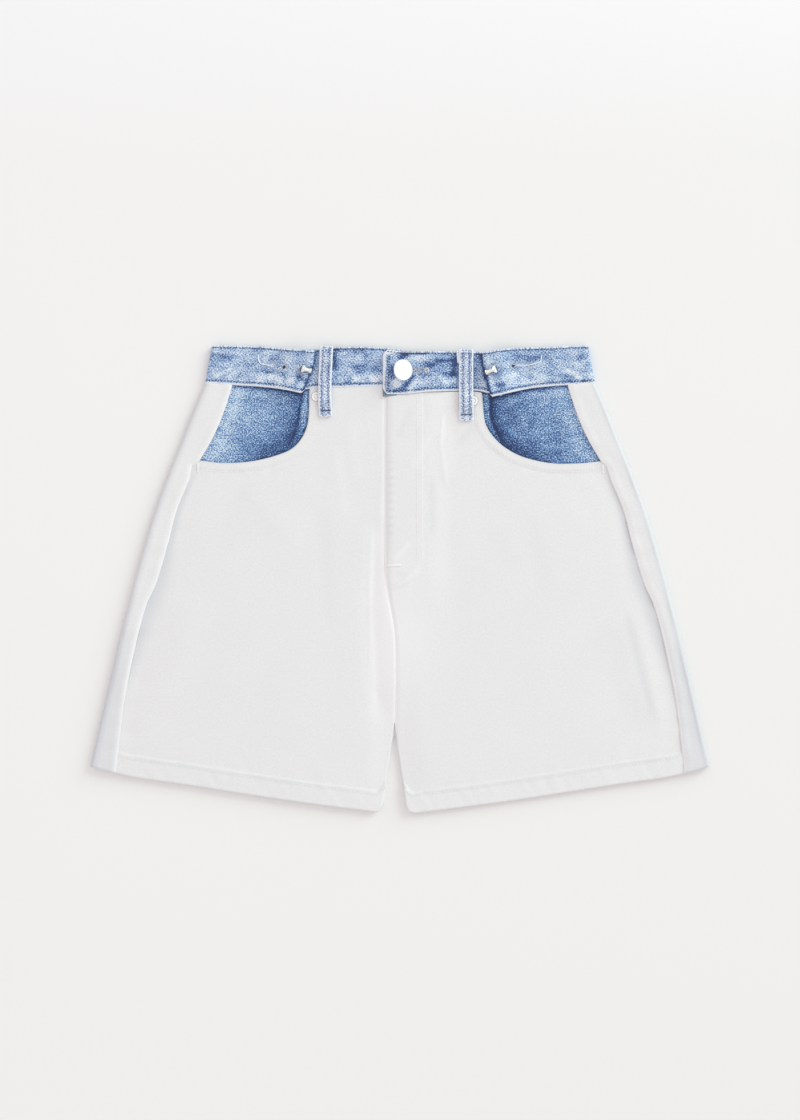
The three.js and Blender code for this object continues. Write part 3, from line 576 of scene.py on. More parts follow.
def ecru_denim():
    """Off-white denim: greyer where shade is painted in its creases and beside its seams, whiter where
    highlights are painted.
    """
    g = Graph("ecru_denim", 0.88, Sheen_Weight=0.05)
    weave = g.attribute("weave", "Vector")
    twill = g.bands(weave, TWILL_SPACING, TWILL_TURN)
    slub = g.noise(g.stretched(weave, (1, 0.14, 1)), 1.2)
    cloud = g.noise(weave, 46, 4)
    fleck = g.noise(weave, 2.2, 3, 0.7)
    tone = spread_about(g, fleck, ECRU_GAIN["fleck"])
    tone = g.plus(tone, spread_about(g, cloud, ECRU_GAIN["cloud"]))
    tone = g.plus(tone, g.times(twill, ECRU_GAIN["twill"]))
    base = g.mixed(g.plus(tone, 0.08, clamp=True), opaque(ECRU_PALE), opaque(ECRU_GREY))
    # Painted shade: the mask greys the cloth in creases, beside seams and along turned edges.
    shade = g.times(g.attribute("painted_shade_and_tone"), 0.62, clamp=True)
    base = g.mixed(shade, base, opaque(ECRU_SHADE))
    # Painted highlight: the mask whitens fold ridges, the fly's edge and the seam lines.
    wear_and_painted_highlight = g.times(g.attribute("wear_and_painted_highlight"), 0.8, clamp=True)
    base = g.mixed(wear_and_painted_highlight, base, opaque(ECRU_HIGHLIGHT))
    g.raise_by(g.plus(g.times(twill, 0.3), g.times(slub, 0.6)), 0.12, 0.4)
    return g.colour(base)


WASH_STOPS = (0.02, 0.15, 0.35, 0.5, 0.65, 0.85, 0.98)


def blue_denim(name, tones, bare, contrast=1.0, fleck_gain=1.0, twill_gain=1.0):
    """Washed indigo denim: darker where shade is painted in its creases and under things, lighter where it is
    worn and where highlights are painted, and bare on its edges.
    """
    g = Graph(name, 0.86, Sheen_Weight=0.06)
    weave = g.attribute("weave", "Vector")
    twill = g.bands(weave, TWILL_SPACING, TWILL_TURN)
    cloud = g.noise(weave, 24, 3)
    blotch = g.noise(g.stretched(weave, (0.55, 1, 1)), 5.5, 4, 0.6)
    fleck = g.noise(weave, 1.25, 2, 0.6)
    across = g.bands(weave, TWILL_SPACING, TWILL_TURN + math.pi / 2)
    twill = g.plus(g.times(twill, 0.62), g.times(across, 0.38))
    wash = g.plus(spread_about(g, cloud, WASH_GAIN["cloud"] * contrast), 0.5)
    wash = g.plus(wash, spread_about(g, blotch, WASH_GAIN["blotch"] * contrast))
    wash = g.plus(wash, spread_about(g, fleck, WASH_GAIN["fleck"] * fleck_gain))
    wash = g.plus(wash, spread_about(g, twill, WASH_GAIN["twill"] * twill_gain))
    # Painted shade darkens the wash; the same mask also carries the denim's own darker clouds.
    wash = g.minus(wash, g.times(g.attribute("painted_shade_and_tone"), 0.45))
    # Lighter where worn, and where highlights are painted on ridges and lit sides.
    wash = g.plus(wash, g.times(g.attribute("wear_and_painted_highlight"), 0.32))
    base = g.ramp(wash, [(stop, srgb(*tone)) for stop, tone in zip(WASH_STOPS, tones)])
    frayed = g.plus(g.minus(g.attribute("edge"), 0.3), spread_about(g, fleck, 1.4))
    base = g.mixed(g.times(frayed, 1.7, clamp=True), base, opaque(bare))
    g.raise_by(g.plus(g.times(twill, 0.6), g.times(fleck, 0.6)), 0.16, 0.6)
    return g.colour(base)


def thread(name, tone, dark):
    """Spun thread, darker by this factor between its fibres."""
    g = Graph(name, 0.7, Sheen_Weight=0.1)
    own = g.node("ShaderNodeTexCoord").outputs["Object"]
    spun = g.noise(own, 0.9, 2)
    g.raise_by(spun, 0.05, 0.5)
    share = g.plus(spread_about(g, spun, 2.2), 0.4, clamp=True)
    return g.colour(g.mixed(share, opaque(tone), opaque([c * dark for c in tone])))


METAL_PAINTED_SHADE = srgb(84, 78, 74)


def metal(name, tone, roughness, metallic, coat=0.0):
    """Scuffed metal, darkened by painted shade and dark painted reflections where the piece's mask says so.
    """
    g = Graph(name, roughness, Metallic=metallic, Coat_Weight=coat, Coat_Roughness=0.25)
    own = g.node("ShaderNodeTexCoord").outputs["Object"]
    scuff = g.noise(own, 3.0, 4)
    g.put(g.shader.inputs["Roughness"], g.plus(g.times(scuff, 0.16), roughness - 0.08))
    g.raise_by(g.noise(own, 0.9, 2), 0.02, 0.3)
    base = g.mixed(g.times(scuff, 0.25), opaque(tone), opaque([c * 0.86 for c in tone]))
    # Painted shade and dark painted reflections, from the piece's mask.
    return g.colour(g.mixed(g.attribute("painted_shade_and_tone"), base, opaque(METAL_PAINTED_SHADE)))


BAND_TONES = [(54, 74, 120), (92, 122, 173), (127, 158, 203), (155, 182, 215), (178, 198, 221),
              (202, 214, 231), (230, 237, 243)]
POCKET_TONES = [(40, 58, 100), (63, 94, 147), (89, 126, 177), (110, 147, 195), (132, 166, 207),
                (162, 191, 222), (212, 226, 236)]
LOOP_TONES = [(84, 98, 140), (126, 146, 186), (156, 176, 209), (180, 197, 221), (199, 212, 231),
              (218, 227, 240), (239, 243, 248)]
BARE = srgb(233, 237, 244)
MATERIALS = {
    "ecru": ecru_denim(),
    "band": blue_denim("band_denim", BAND_TONES, BARE),
    "pocket": blue_denim("pocket_denim", POCKET_TONES, BARE, 0.75, 1.25, 0.4),
    "loop": blue_denim("loop_denim", LOOP_TONES, BARE, 0.8, 1.2, 1.2),
    "ecru_thread": thread("ecru_thread", srgb(246, 246, 246), 0.9),
    "navy_thread": thread("navy_thread", srgb(66, 76, 116), 0.72),
    "grey_thread": thread("grey_thread", srgb(120, 122, 152), 0.6),
    "beige_thread": thread("beige_thread", srgb(190, 190, 200), 0.72),
    "ivory_thread": thread("ivory_thread", srgb(253, 253, 253), 0.94),
    "lining": thread("lining", srgb(126, 150, 162), 0.8),
    # Dark thread that stands as painted shade in the eyelets' slits.
    "slit_shade_thread": thread("slit_shade_thread", srgb(38, 40, 58), 0.6),
    "enamel": metal("white_metal", srgb(253, 253, 253), 0.4, 0.0, 0.2),
    "steel": metal("polished_steel", srgb(252, 251, 247), 0.3, 0.5),
}


def finish_piece(piece, material, nodes):
    """Gives a piece its material, and hides the solids that it stands for."""
    piece.data.materials.append(MATERIALS[material])
    for node in nodes:
        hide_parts(node)
    return piece


# Fronts
SEAM_TOP_Y, SEAM_FOOT_Y = 181.7, -181.4
MOUTH_TURN = 8.0
MOUTH_STITCH = (6.0, 8.0)
FLY_STITCH = {"x": 20.7, "low": 22.3, "foot": -9.0, "end": -11.3}
FLY_STITCH_APART = 4.6
FLY_THIN = {"share": 0.25, "wide": 3.6, "press": 0.42}
FLY_PUCKERS = {"spacing": 7.5, "low": 30.0, "high": 122.0}
FINE_FOLDS = {
    -1: columns(FOLD_COLUMNS, [
        (-26.0, 40, -28.5, -20, 0.30, 2.6),
        (-28.5, -20, -23.5, -126, 0.2, 2.8),
        (-60.0, 120, -52.0, 60, 0.15, 5.0),
        (-72.0, 60, -66.0, -40, -0.12, 7.0),
        (-150.0, 84, -120.0, 40, -0.10, 8.0),
        (-46.0, 150, -40.0, 96, 0.12, 5.0),
    ]),
    1: columns(FOLD_COLUMNS, [
        (-6.0, 17.0, 8.5, 33.0, 0.3, 2.2),
        (5.0, -2.0, 16.0, 7.0, 0.25, 2.0),
        (-4.0, 4.0, 6.0, 2.0, -0.25, 3.0),
        (29.0, 92.0, 29.5, 42.0, -0.22, 3.6),
        (54.0, 126.0, 70.0, 146.0, -0.22, 3.6),
        (11.0, 104.0, 26.0, 132.0, 0.2, 4.5),
        (-3.0, 132.0, 10.0, 158.0, -0.15, 3.4),
        (40.5, 153.0, 38.3, 126.0, 0.34, 2.0),
        (38.3, 126.0, 43.5, 88.0, 0.26, 2.4),
        (213.0, -37.0, 237.0, -131.0, -0.35, 5.0),
        (120.0, 62.0, 138.0, -10.0, -0.10, 8.0),
    ]),
}
SEAM_DIP = {"depth": 0.3, "at": 9.0, "width": 8.0}
CORNER_LAP = {-1: 5.0, 1: 2.6}
CORNER_LAP_LONG = 22.0
FLY_LAP_SHADE = {"at": 5.0, "wide": 2.4, "least": 0.08, "dimples": 0.2}
SEAM_SHADE = {"share": 0.65, "wide": 3.4, "swell": 6.5}
FRONT_PAINTED_LIGHT = {"fold": 0.9, "hem": 0.34, "mouth": 0.7, "ridge": 0.95}
TURNED_EDGE = {"rise": 0.42, "groove": 0.2}
FLY_FACING_RISE = 0.40
PUCKER = {"height": 0.26, "at": 6.5, "wide": 2.8}
FRONT_WAVES = {"broad": 0.25, "small": 0.10, "seam": 0.30, "hem": 0.22, "in_hem": 0.14, "mouth": 0.16,
               "fly": 0.16}
FRONT_HIGHLIGHT = {"beside": 0.85, "lower": 0.30, "line": 1.3, "crotch": 0.32}


def hem_share(x, y, shorter=0.0):
    return ease((hem_at(x) + shorter + HEM_WIDTH + HEM_STEP - y) / HEM_STEP)


def front_thickness(x, y):
    return mix(CLOTH, HEM_CLOTH, hem_share(x, y))


def fly_stitch_x(y, inset=0.0):
    """How far out the J of the fly stitching lies at each height."""
    j = FLY_STITCH
    drop = np.clip((j["low"] - y) / (j["low"] - j["foot"] - inset), 0, 1)
    return j["end"] + (j["x"] - inset - j["end"]) * np.sqrt(1 - drop ** 2)


def front_middle(x, y, lapped):
    """Height of the middle of a front's cloth, without its fine relief."""
    hem = hem_share(x, y)
    back = mix(CLOTH, HEM_CLOTH, hem_share(x, y, BACK_HEM_SHORTER))
    over = back + LEG_LAYER + front_thickness(x, y) / 2
    beside = np.where(y < CROTCH_Y + 40,
                      ease((np.abs(x - CROTCH_X) - leg_spread_at(y)) / INNER_LEG_FADE), 1.0)
    below_fly = ease((y - CROTCH_Y) / 40)
    loft = (FRONT_LOW - CLOTH - LEG_LAYER) * np.maximum(beside, below_fly) * (1 - hem)
    dip = SEAM_DIP["depth"] * bump(inside_seam(x, y) - SEAM_DIP["at"], SEAM_DIP["width"])
    rise = 0.0
    if lapped:
        wide = ease(1 - (x - FLY_RISE["wide"]) / FLY_RISE["fade"])
        rise = FLY_RISE["value"] * wide * ease((y - FLY_RISE["low"]) / (FLY_RISE["high"] - FLY_RISE["low"]))
    return over + loft + rise + (fold_height(x, y, FRONT_FOLDS) - dip) * (1 - hem)


def pucker_share(y):
    low, high = FLY_PUCKERS["low"], FLY_PUCKERS["high"]
    return ease((y - low) / 12) * ease((high - y) / 30)


def pucker_wave(y):
    return np.cos(y * 2 * math.pi / FLY_PUCKERS["spacing"])


def front_relief(side, mouth, x, y):
    """Fine relief of a front: soft waves, puckers along the sewing, turned edges and the fly's facing."""
    hem = hem_share(x, y)
    above_hem = y - hem_at(x) - HEM_WIDTH
    from_mouth = distance_to(mouth, x, y)
    from_seam = inside_seam(x, y)
    from_fly = beyond_fly(x, y)
    calm = ease(np.abs(from_fly) / 9)
    waves = FRONT_WAVES
    z = calm * (waves["broad"] * uneven(x, y, 88, 3 + side) + waves["small"] * uneven(x, y, 34, 9 + side))
    z = z + fold_height(x, y, FINE_FOLDS[side])
    z = z + ripple(waves["seam"], from_seam, 16, x * 0.4, y, 11, 21 + side)
    z = z + ripple(waves["hem"], above_hem, 11, x, y * 0.3, 8, 31 + side)
    z = z + waves["in_hem"] * hem * uneven(x + 0.7 * y, y * 0.2, 5.5, 41 + side)
    z = z + TURNED_EDGE["rise"] * ease((MOUTH_TURN + 1 - from_mouth) / 2)
    z = z - TURNED_EDGE["groove"] * bump(from_mouth - 7, 1.1)
    z = z + ripple(waves["mouth"], from_mouth - 9, 8, x, y, 7, 51 + side)
    if side > 0:
        from_j = fly_stitch_x(y) - x
        inside = ease((from_j + 1.2) / 2.4) * ease((y - FLY_STITCH["foot"] + 1.2) / 2.4)
        z = z + calm * FLY_FACING_RISE * inside + ripple(waves["fly"], from_j, 8, x, y, 9, 61)
        puckered = bump(from_fly - PUCKER["at"], PUCKER["wide"]) * pucker_share(y)
        z = z + PUCKER["height"] * puckered * pucker_wave(y)
    return z


def front_painted_highlight(side, x, y):
    """Painted highlights beside the fly, down the middle, along the lapped edge and over the crotch."""
    from_fly = beyond_fly(x, y)
    if side < 0:
        wide = mix(2.4, 4.6, ease((90 - y) / 60))
        beside = bump(from_fly, wide) * ease((y + 70) / 60) * mix(0.5, 1.0, ease((y + 10) / 40))
        lower = ease((36 - y) / 60) * mix(0.3, 1.0, ease((y + 150) / 90))
        return FRONT_HIGHLIGHT["beside"] * beside + FRONT_HIGHLIGHT["lower"] * ease((x + 31) / 5) * lower
    crotch = bump(x - 6, 30) * bump(y + 45, 60)
    return FRONT_HIGHLIGHT["line"] * bump(from_fly, 1.0) + FRONT_HIGHLIGHT["crotch"] * crotch


def fly_shade(x, y):
    """Painted shade in dimples just beside the lapped edge."""
    shade = FLY_LAP_SHADE
    dimples = 0.5 - 0.5 * pucker_wave(y)
    line = ease((y + 10) / 40) * bump(beyond_fly(x, y) - shade["at"], shade["wide"])
    return line * (shade["least"] + shade["dimples"] * pucker_share(y) * dimples)


def seam_shade(x, y):
    """Painted shade in a band beside the side seam, widest where the leg swells."""
    wide = SEAM_SHADE["wide"] + SEAM_SHADE["swell"] * bump(y + 25, 48)
    share = ease((y + 132) / 90) * ease((118 - y) / 40)
    return SEAM_SHADE["share"] * share * bump(np.maximum(inside_seam(x, y) - 2.0, 0), wide)


def corner_lap(side, y):
    """How far a front's corner laps over the strip just below the pocket mouth."""
    below = MOUTH[side][-1][1] - y
    return CORNER_LAP[side] * ease((CORNER_LAP_LONG - below) / CORNER_LAP_LONG) * ease(below / 4)


def front_panel(side):
    """A front, and the line of its pocket mouth."""
    name = SIDE_NAME[side]
    lapped = side > 0
    centre = f"{name}_centre"
    mouth = spline(MOUTH[side], 120)

    def middle(y):
        edge = along(FLY_EDGE, "y", "x", y)
        lap = ease((y - FLY_LAP_LOW) / (FLY_LAP_HIGH - FLY_LAP_LOW))
        return edge + (SEAM / 2 if lapped else mix(-SEAM / 2, FLY_LAP, lap))

    top_x = float(middle(180.0))
    top_y = float(band_edge_at(centre, top_x, 1)) - SEAM
    foot_x = CROTCH_X + side * INNER_LEG["spread"][0]
    seam_foot = side * (float(seam_at(SEAM_FOOT_Y)) - SEAM)
    seam_y = np.linspace(mouth[-1][1], SEAM_FOOT_Y, 120)
    seam_line = np.stack([side * (seam_at(seam_y) - SEAM + corner_lap(side, seam_y)), seam_y], axis=1)
    start_at = np.concatenate([np.linspace(0, MOUTH_ROW, len(mouth)),
                               np.linspace(MOUTH_ROW, 1, len(seam_y))])
    start_line = np.vstack([mouth, seam_line])

    def start(r):
        return np.stack([np.interp(r, start_at, start_line[:, k]) for k in range(2)], axis=-1)

    end = inner_line(side, top_y, float(hem_at(foot_x)), middle, leg_spread_at)

    def top(c):
        x = mix(mouth[0][0], top_x, c)
        y = band_edge_at(centre, x, 1) - SEAM
        return np.stack([x, y + (mouth[0][1] - y[0]) * (1 - c)], axis=-1)

    def foot(c):
        x = mix(seam_foot, foot_x, c)
        return np.stack([x, hem_at(x)], axis=-1)

    across = np.linspace(0, 1, 131)
    down = np.unique(np.concatenate([np.linspace(0, MOUTH_ROW, 80),
                                     np.linspace(MOUTH_ROW, CROTCH_ROW, 90),
                                     np.linspace(CROTCH_ROW, 1, 64)]))
    plan = patch(top, foot, start, end, across, down)
    x, y = plan[..., 0], plan[..., 1]
    middle_z = front_middle(x, y, lapped) + front_relief(side, mouth, x, y)
    half = front_thickness(x, y) / 2
    thin = 1.0
    if lapped:
        from_fly = beyond_fly(x, y)
        thin = mix(FLY_THIN["share"], 1.0, ease(from_fly / FLY_THIN["wide"]))
        middle_z = middle_z - FLY_THIN["press"] * bump(from_fly, 3.5) * ease((y + 50) / 62)
    under_z = middle_z - half
    top_z = under_z + 2 * half * thin
    folds = fold_height(x, y, FINE_FOLDS[side])
    # Painted shade beside the side seam, in the dips of the folds, above the hem's turned edge, along the
    # pocket mouth and in dimples by the fly; painted highlights on the folds' ridges and by the fly.
    painted_shade_and_tone = seam_shade(x, y) + FRONT_PAINTED_LIGHT["fold"] * np.maximum(-folds, 0)
    painted_shade_and_tone = painted_shade_and_tone + FRONT_PAINTED_LIGHT["hem"] * bump(y - hem_at(x) - HEM_WIDTH - 0.3, 1.7)
    painted_shade_and_tone = painted_shade_and_tone + FRONT_PAINTED_LIGHT["mouth"] * bump(distance_to(mouth, x, y), 0.8)
    if lapped:
        painted_shade_and_tone = painted_shade_and_tone + fly_shade(x, y)
    masks = {"painted_shade_and_tone": painted_shade_and_tone, "wear_and_painted_highlight": front_painted_highlight(side, x, y) + FRONT_PAINTED_LIGHT["ridge"] * np.maximum(folds, 0)}
    piece = cloth(f"front_{name}_cloth", x, y, under_z, top_z, plan, masks)
    finish_piece(piece, "ecru", [f"front_panel_{name}"])
    return piece, mouth


# Backs
STRIP_STEPS = 18
BACK_LEG_WIDER = 1.4
ROLL_STEPS = 18
ROLL_SHADE = {"least": 0.6, "low": 0.25}
STRIP_SHADE = {"low": 0.38, "roll": 0.45}
STRIP_HIGHLIGHT = 0.4
STRIP_RISE = {"seam": 0.45, "puckers": 0.40, "waves": 0.35}
ROLL_WAVES = 0.25


def back_panel(side):
    """A back: its flat part, the roll at the side and the strip that shows on the front."""
    name = SIDE_NAME[side]
    slope = (BACK_SEAM_TOP_X - CROTCH_X) / (180 - CROTCH_Y)

    def middle(y):
        return CROTCH_X + slope * (y - CROTCH_Y) + side * SEAM / 2

    def top_at(x):
        return band_edge_at("back", x, 1) - SEAM

    def foot_at(x):
        return hem_at(x) + BACK_HEM_SHORTER

    side_top, side_foot = float(top_at(side * BAND_SIDE_FOOT)), float(hem_at(SIDE["roll"][0]))
    top_x = float(middle(180.0))
    foot_x = CROTCH_X + side * INNER_LEG["spread"][0]

    def flat_x(y):
        return roll_at(y) - roll_height_at(y) / 2

    def back_spread_at(y):
        nearer = BACK_LEG_WIDER * ease((y - CROTCH_Y + 22) / 10)
        return np.maximum(leg_spread_at(y) - nearer, SEAM / 2)

    start = inner_line(side, float(top_at(top_x)), float(foot_at(foot_x)), middle, back_spread_at)

    def end(r):
        y = mix(side_top, side_foot, r)
        return np.stack([side * flat_x(y), y], axis=-1)

    def run_across(y_at, r):
        (a,), (b,) = start(np.array([r])), end(np.array([r]))

        def edge(c):
            x = mix(a[0], b[0], c)
            y = y_at(x)
            return np.stack([x, y + mix(a[1] - y_at(a[0]), b[1] - y_at(b[0]), c)], axis=-1)

        return edge

    down = np.unique(np.concatenate([np.linspace(0, CROTCH_ROW, 150), np.linspace(CROTCH_ROW, 1, 44)]))
    plan = patch(run_across(top_at, 0.0), run_across(foot_at, 1.0), start, end,
                 np.linspace(0, 1, 70), down)
    x, y = plan[..., 0], plan[..., 1]
    thick = mix(CLOTH, HEM_CLOTH, hem_share(x, y, BACK_HEM_SHORTER))
    out, inner = [np.dstack([x, y, x * 0])], [np.dstack([x, y, thick])]
    weave = [plan]
    y_side = mix(side_top, side_foot, down)[:, None]
    y_seam = mix(SEAM_TOP_Y, SEAM_FOOT_Y, down)[:, None]
    height = roll_height_at(y_side) + ROLL_WAVES * uneven(y_side, y_side * 0, 26, 71 + side)
    at_hem = hem_share(side * SIDE["roll"][0], y_side - BACK_HEM_SHORTER, BACK_HEM_SHORTER)
    rim = mix(CLOTH, HEM_CLOTH, at_hem)
    roll_x = flat_x(y_side)
    angle = ((np.arange(ROLL_STEPS) + 1) / ROLL_STEPS - 0.5)[None] * math.pi
    for faces, radius in ((out, height / 2), (inner, height / 2 - rim)):
        faces.append(np.dstack([side * (roll_x + radius * np.cos(angle)), y_side + 0 * angle,
                                height / 2 + radius * np.sin(angle)]))
    arc = (angle + math.pi / 2) * height / 2
    weave.append(np.dstack([side * (roll_x + arc), y_side + 0 * angle]))
    c = ((np.arange(STRIP_STEPS) + 1) / STRIP_STEPS)[None]
    edge_x = seam_at(y_seam) + corner_lap(side, y_seam)
    xs, ys = mix(roll_x, edge_x, c), mix(y_side, y_seam, c)
    from_seam = xs - edge_x
    z = height - SEAM_DROP * c * c
    z = z + STRIP_RISE["seam"] * bump(from_seam - 3.5, 3.6)
    z = z + ripple(STRIP_RISE["puckers"], from_seam, 12, from_seam * 0.3, ys, 10, 81 + side)
    waves = uneven(xs, ys, 30, 91 + side) * ease(from_seam / 10) * ease((1 - c) * 3)
    z = z + STRIP_RISE["waves"] * waves
    out.append(np.dstack([side * xs, ys, z]))
    inner.append(np.dstack([side * xs, ys, z - rim]))
    weave.append(np.dstack([side * (2 * roll_x - xs + height * math.pi / 2), ys]))
    # Painted shade on the side roll and on the strip's lower part and outer edge; a painted highlight along
    # the strip's seam edge.
    on_roll = ROLL_SHADE["least"] + ROLL_SHADE["low"] * ease((-y_side - 10) / 90) + 0 * angle
    on_strip = STRIP_SHADE["low"] * ease((-ys - 10) / 90) * ease(from_seam / 3)
    on_strip = on_strip + STRIP_SHADE["roll"] * bump(xs - roll_x, 2.6)
    seam_highlight = STRIP_HIGHLIGHT * ease((ys + 135) / 50) * bump(from_seam - 0.6, 1.1)
    masks = {"painted_shade_and_tone": np.hstack([x * 0, on_roll, on_strip]), "wear_and_painted_highlight": np.hstack([x * 0, on_roll * 0, seam_highlight])}
    piece = shell(f"back_{name}_cloth", np.hstack(out), np.hstack(inner), np.hstack(weave), masks)
    return finish_piece(piece, "ecru", [f"back_panel_{name}"])


# Pocket facings
PLEAT_LINE = {
    -1: [(-91.5, 176.0), (-92.4, 168.0), (-94.7, 156.7), (-96.1, 145.5), (-103.6, 126.7), (-114.7, 116.0)],
    1: [(85.2, 174.0), (85.0, 166.0), (85.7, 151.1), (89.9, 139.8), (97.0, 126.0), (104.0, 116.0)],
}
FACING_DARKER = {-1: 0.0, 1: 0.2}
FACING_SHADE = {"line": 1.4, "beyond": 0.55, "band": 0.9, "top": 0.15, "mouth": 0.3, "edge": 0.4, "low": 0.6}
FACING_WEAR_AND_HIGHLIGHT = {"pleat": 0.9, "seam": 0.6, "edge": 0.4, "clouds": 0.5, "top": 0.4, "outer": 0.1}
FACING_RISE = {"inner": 1.3, "outer": 1.5, "line": 0.5, "seam": 0.4}


def pocket_facing(side, mouth):
    """A facing, raised along the line where the pleat above pulls it, with painted shade along that line and
    under the band, and a painted highlight on the line's lit side.
    """
    name = SIDE_NAME[side]
    run, pleat = FACING[side], PLEATS[side]
    side_run, centre_run = f"{name}_side", f"{name}_centre"

    def top_at(x):
        beside, centre = band_edge_at(side_run, x, 1), band_edge_at(centre_run, x, 1)
        front = np.where(np.abs(x) > abs(pleat["foot"]), beside, centre)
        return np.minimum(front, band_edge_at("back", x, 1)) - SEAM

    def outer_x(y):
        return side * (seam_at(y) - SEAM)

    outer_top = float(top_at(outer_x(182.0)))
    inner_top = float(top_at(side * run["inner"]))

    def top(t):
        x = mix(outer_x(182.0), side * run["inner"], t)
        return np.stack([x, top_at(x)], axis=-1)

    def foot(t):
        return np.stack([mix(outer_x(run["outer_y"]), side * run["inner_low"], t),
                         mix(run["outer_y"], run["inner_y"], ease(t * 1.6 - 0.6))], axis=-1)

    def start(t):
        y = mix(outer_top, run["outer_y"], t)
        return np.stack([outer_x(y), y], axis=-1)

    def end(t):
        x = side * mix(run["inner"], run["inner_low"], t)
        return np.stack([x, mix(inner_top, run["inner_y"], t)], axis=-1)

    plan = patch(top, foot, start, end, np.linspace(0, 1, 110), np.linspace(0, 1, 84))
    x, y = plan[..., 0], plan[..., 1]
    line = spline(PLEAT_LINE[side], 60)
    from_line, from_mouth = distance_to(line, x, y), distance_to(mouth, x, y)
    from_seam = inside_seam(x, y)
    below = top_at(x) - y
    outer = np.abs(x) > np.abs(np.interp(-y, -line[:, 1], line[:, 0]))
    inner = ~outer
    shown = ease((np.abs(x) - abs(mouth[0][0])) / 4) * ease((from_mouth - 1) / 4)
    fade = ease((y - 112) / 30)
    rise, shade, wear_and_light = FACING_RISE, FACING_SHADE, FACING_WEAR_AND_HIGHLIGHT
    pleat_rise = rise["inner"] * bump(from_line - 4.5, 4) * inner
    pleat_rise = pleat_rise + rise["outer"] * bump(from_line - 6, 6) * outer
    pleat_rise = pleat_rise - rise["line"] * bump(from_line, 1.6)
    z = FACING_LOW + FACING_CLOTH / 2 + shown * fade * pleat_rise
    z = z + shown * (0.35 * uneven(x, y, 24, 101 + side) + 0.2 * uneven(x, y, 10, 111 + side))
    z = z + shown * ripple(0.25, below, 9, x, y * 0.3, 6, 121 + side)
    z = z + shown * rise["seam"] * bump(from_seam, 9)
    inner_part = ease((175 - np.abs(x)) / 60)
    light_side = bump(from_line - 5, 5) * inner * fade
    # Painted shade along the pleat line, under the band's edge, near the pocket mouth and in its low inner
    # corner; the right facing is darker overall.
    painted_shade_and_tone = (shade["line"] * bump(from_line + 0.6, 1.8) + shade["beyond"] * bump(from_line, 9) * outer) * fade
    painted_shade_and_tone = painted_shade_and_tone + shade["band"] * bump(below - 0.8, 1.3) + shade["top"] * bump(below, 3)
    painted_shade_and_tone = painted_shade_and_tone + shade["mouth"] * bump(from_mouth, 20) * inner_part
    painted_shade_and_tone = painted_shade_and_tone + shade["edge"] * bump(from_mouth, 1.8)
    painted_shade_and_tone = painted_shade_and_tone + shade["low"] * bump(from_mouth, 16) * bump(y - 122, 30) * inner_part
    painted_shade_and_tone = painted_shade_and_tone + FACING_DARKER[side] * inner_part
    # Painted highlight on the pleat line's lit side; lighter in clouds, near the seam, below the band and to
    # the outside.
    wear_and_painted_highlight = light_side * (wear_and_light["pleat"] - 0.3 * bump(y - 130, 16))
    wear_and_painted_highlight = wear_and_painted_highlight + wear_and_light["seam"] * bump(from_seam - 10, 7) + wear_and_light["edge"] * bump(from_seam, 2.0)
    wear_and_painted_highlight = wear_and_painted_highlight + wear_and_light["clouds"] * ease(uneven(x, y, 30, 141) * 2) * (1 - inner_part)
    wear_and_painted_highlight = wear_and_painted_highlight + wear_and_light["top"] * bump(below - 7, 4) * ease(from_line / 20)
    wear_and_painted_highlight = wear_and_painted_highlight + wear_and_light["outer"] * ease((np.abs(x) - 112) / 30)
    masks = {"painted_shade_and_tone": painted_shade_and_tone, "wear_and_painted_highlight": wear_and_painted_highlight, "edge": 0 * x}
    half = FACING_CLOTH / 2
    piece = cloth(f"facing_{name}_cloth", x, y, z - half, z + half, plan, masks)
    return finish_piece(piece, "pocket", [f"pocket_facing_{name}"])


fronts = {side: front_panel(side) for side in (-1, 1)}
backs = {side: back_panel(side) for side in (-1, 1)}
facings = {side: pocket_facing(side, fronts[side][1]) for side in (-1, 1)}


# Waistband: one strip from its hidden end, round the back, to the tab
BAND_SIDE_RUN = 16.0
SIDE_ROLL_TOP = band_level(1) + LAYER
TURN_STEPS = 14
RAMP_STEPS = 16
BAND_STEP = 2.0
BAND_EDGE_ROWS = (0.0, 0.4, 0.8, 1.2, 1.7, 2.2, 2.7, 3.3, 4.0, 4.8)
BAND_STITCH = 2.9
BAND_HEIGHT = 36.0
BAND_INSET = 0.9


def pleat_edge(side, v):
    pleat = PLEATS[side]
    return mix(pleat["top"], pleat["foot"], v ** pleat["bend"])


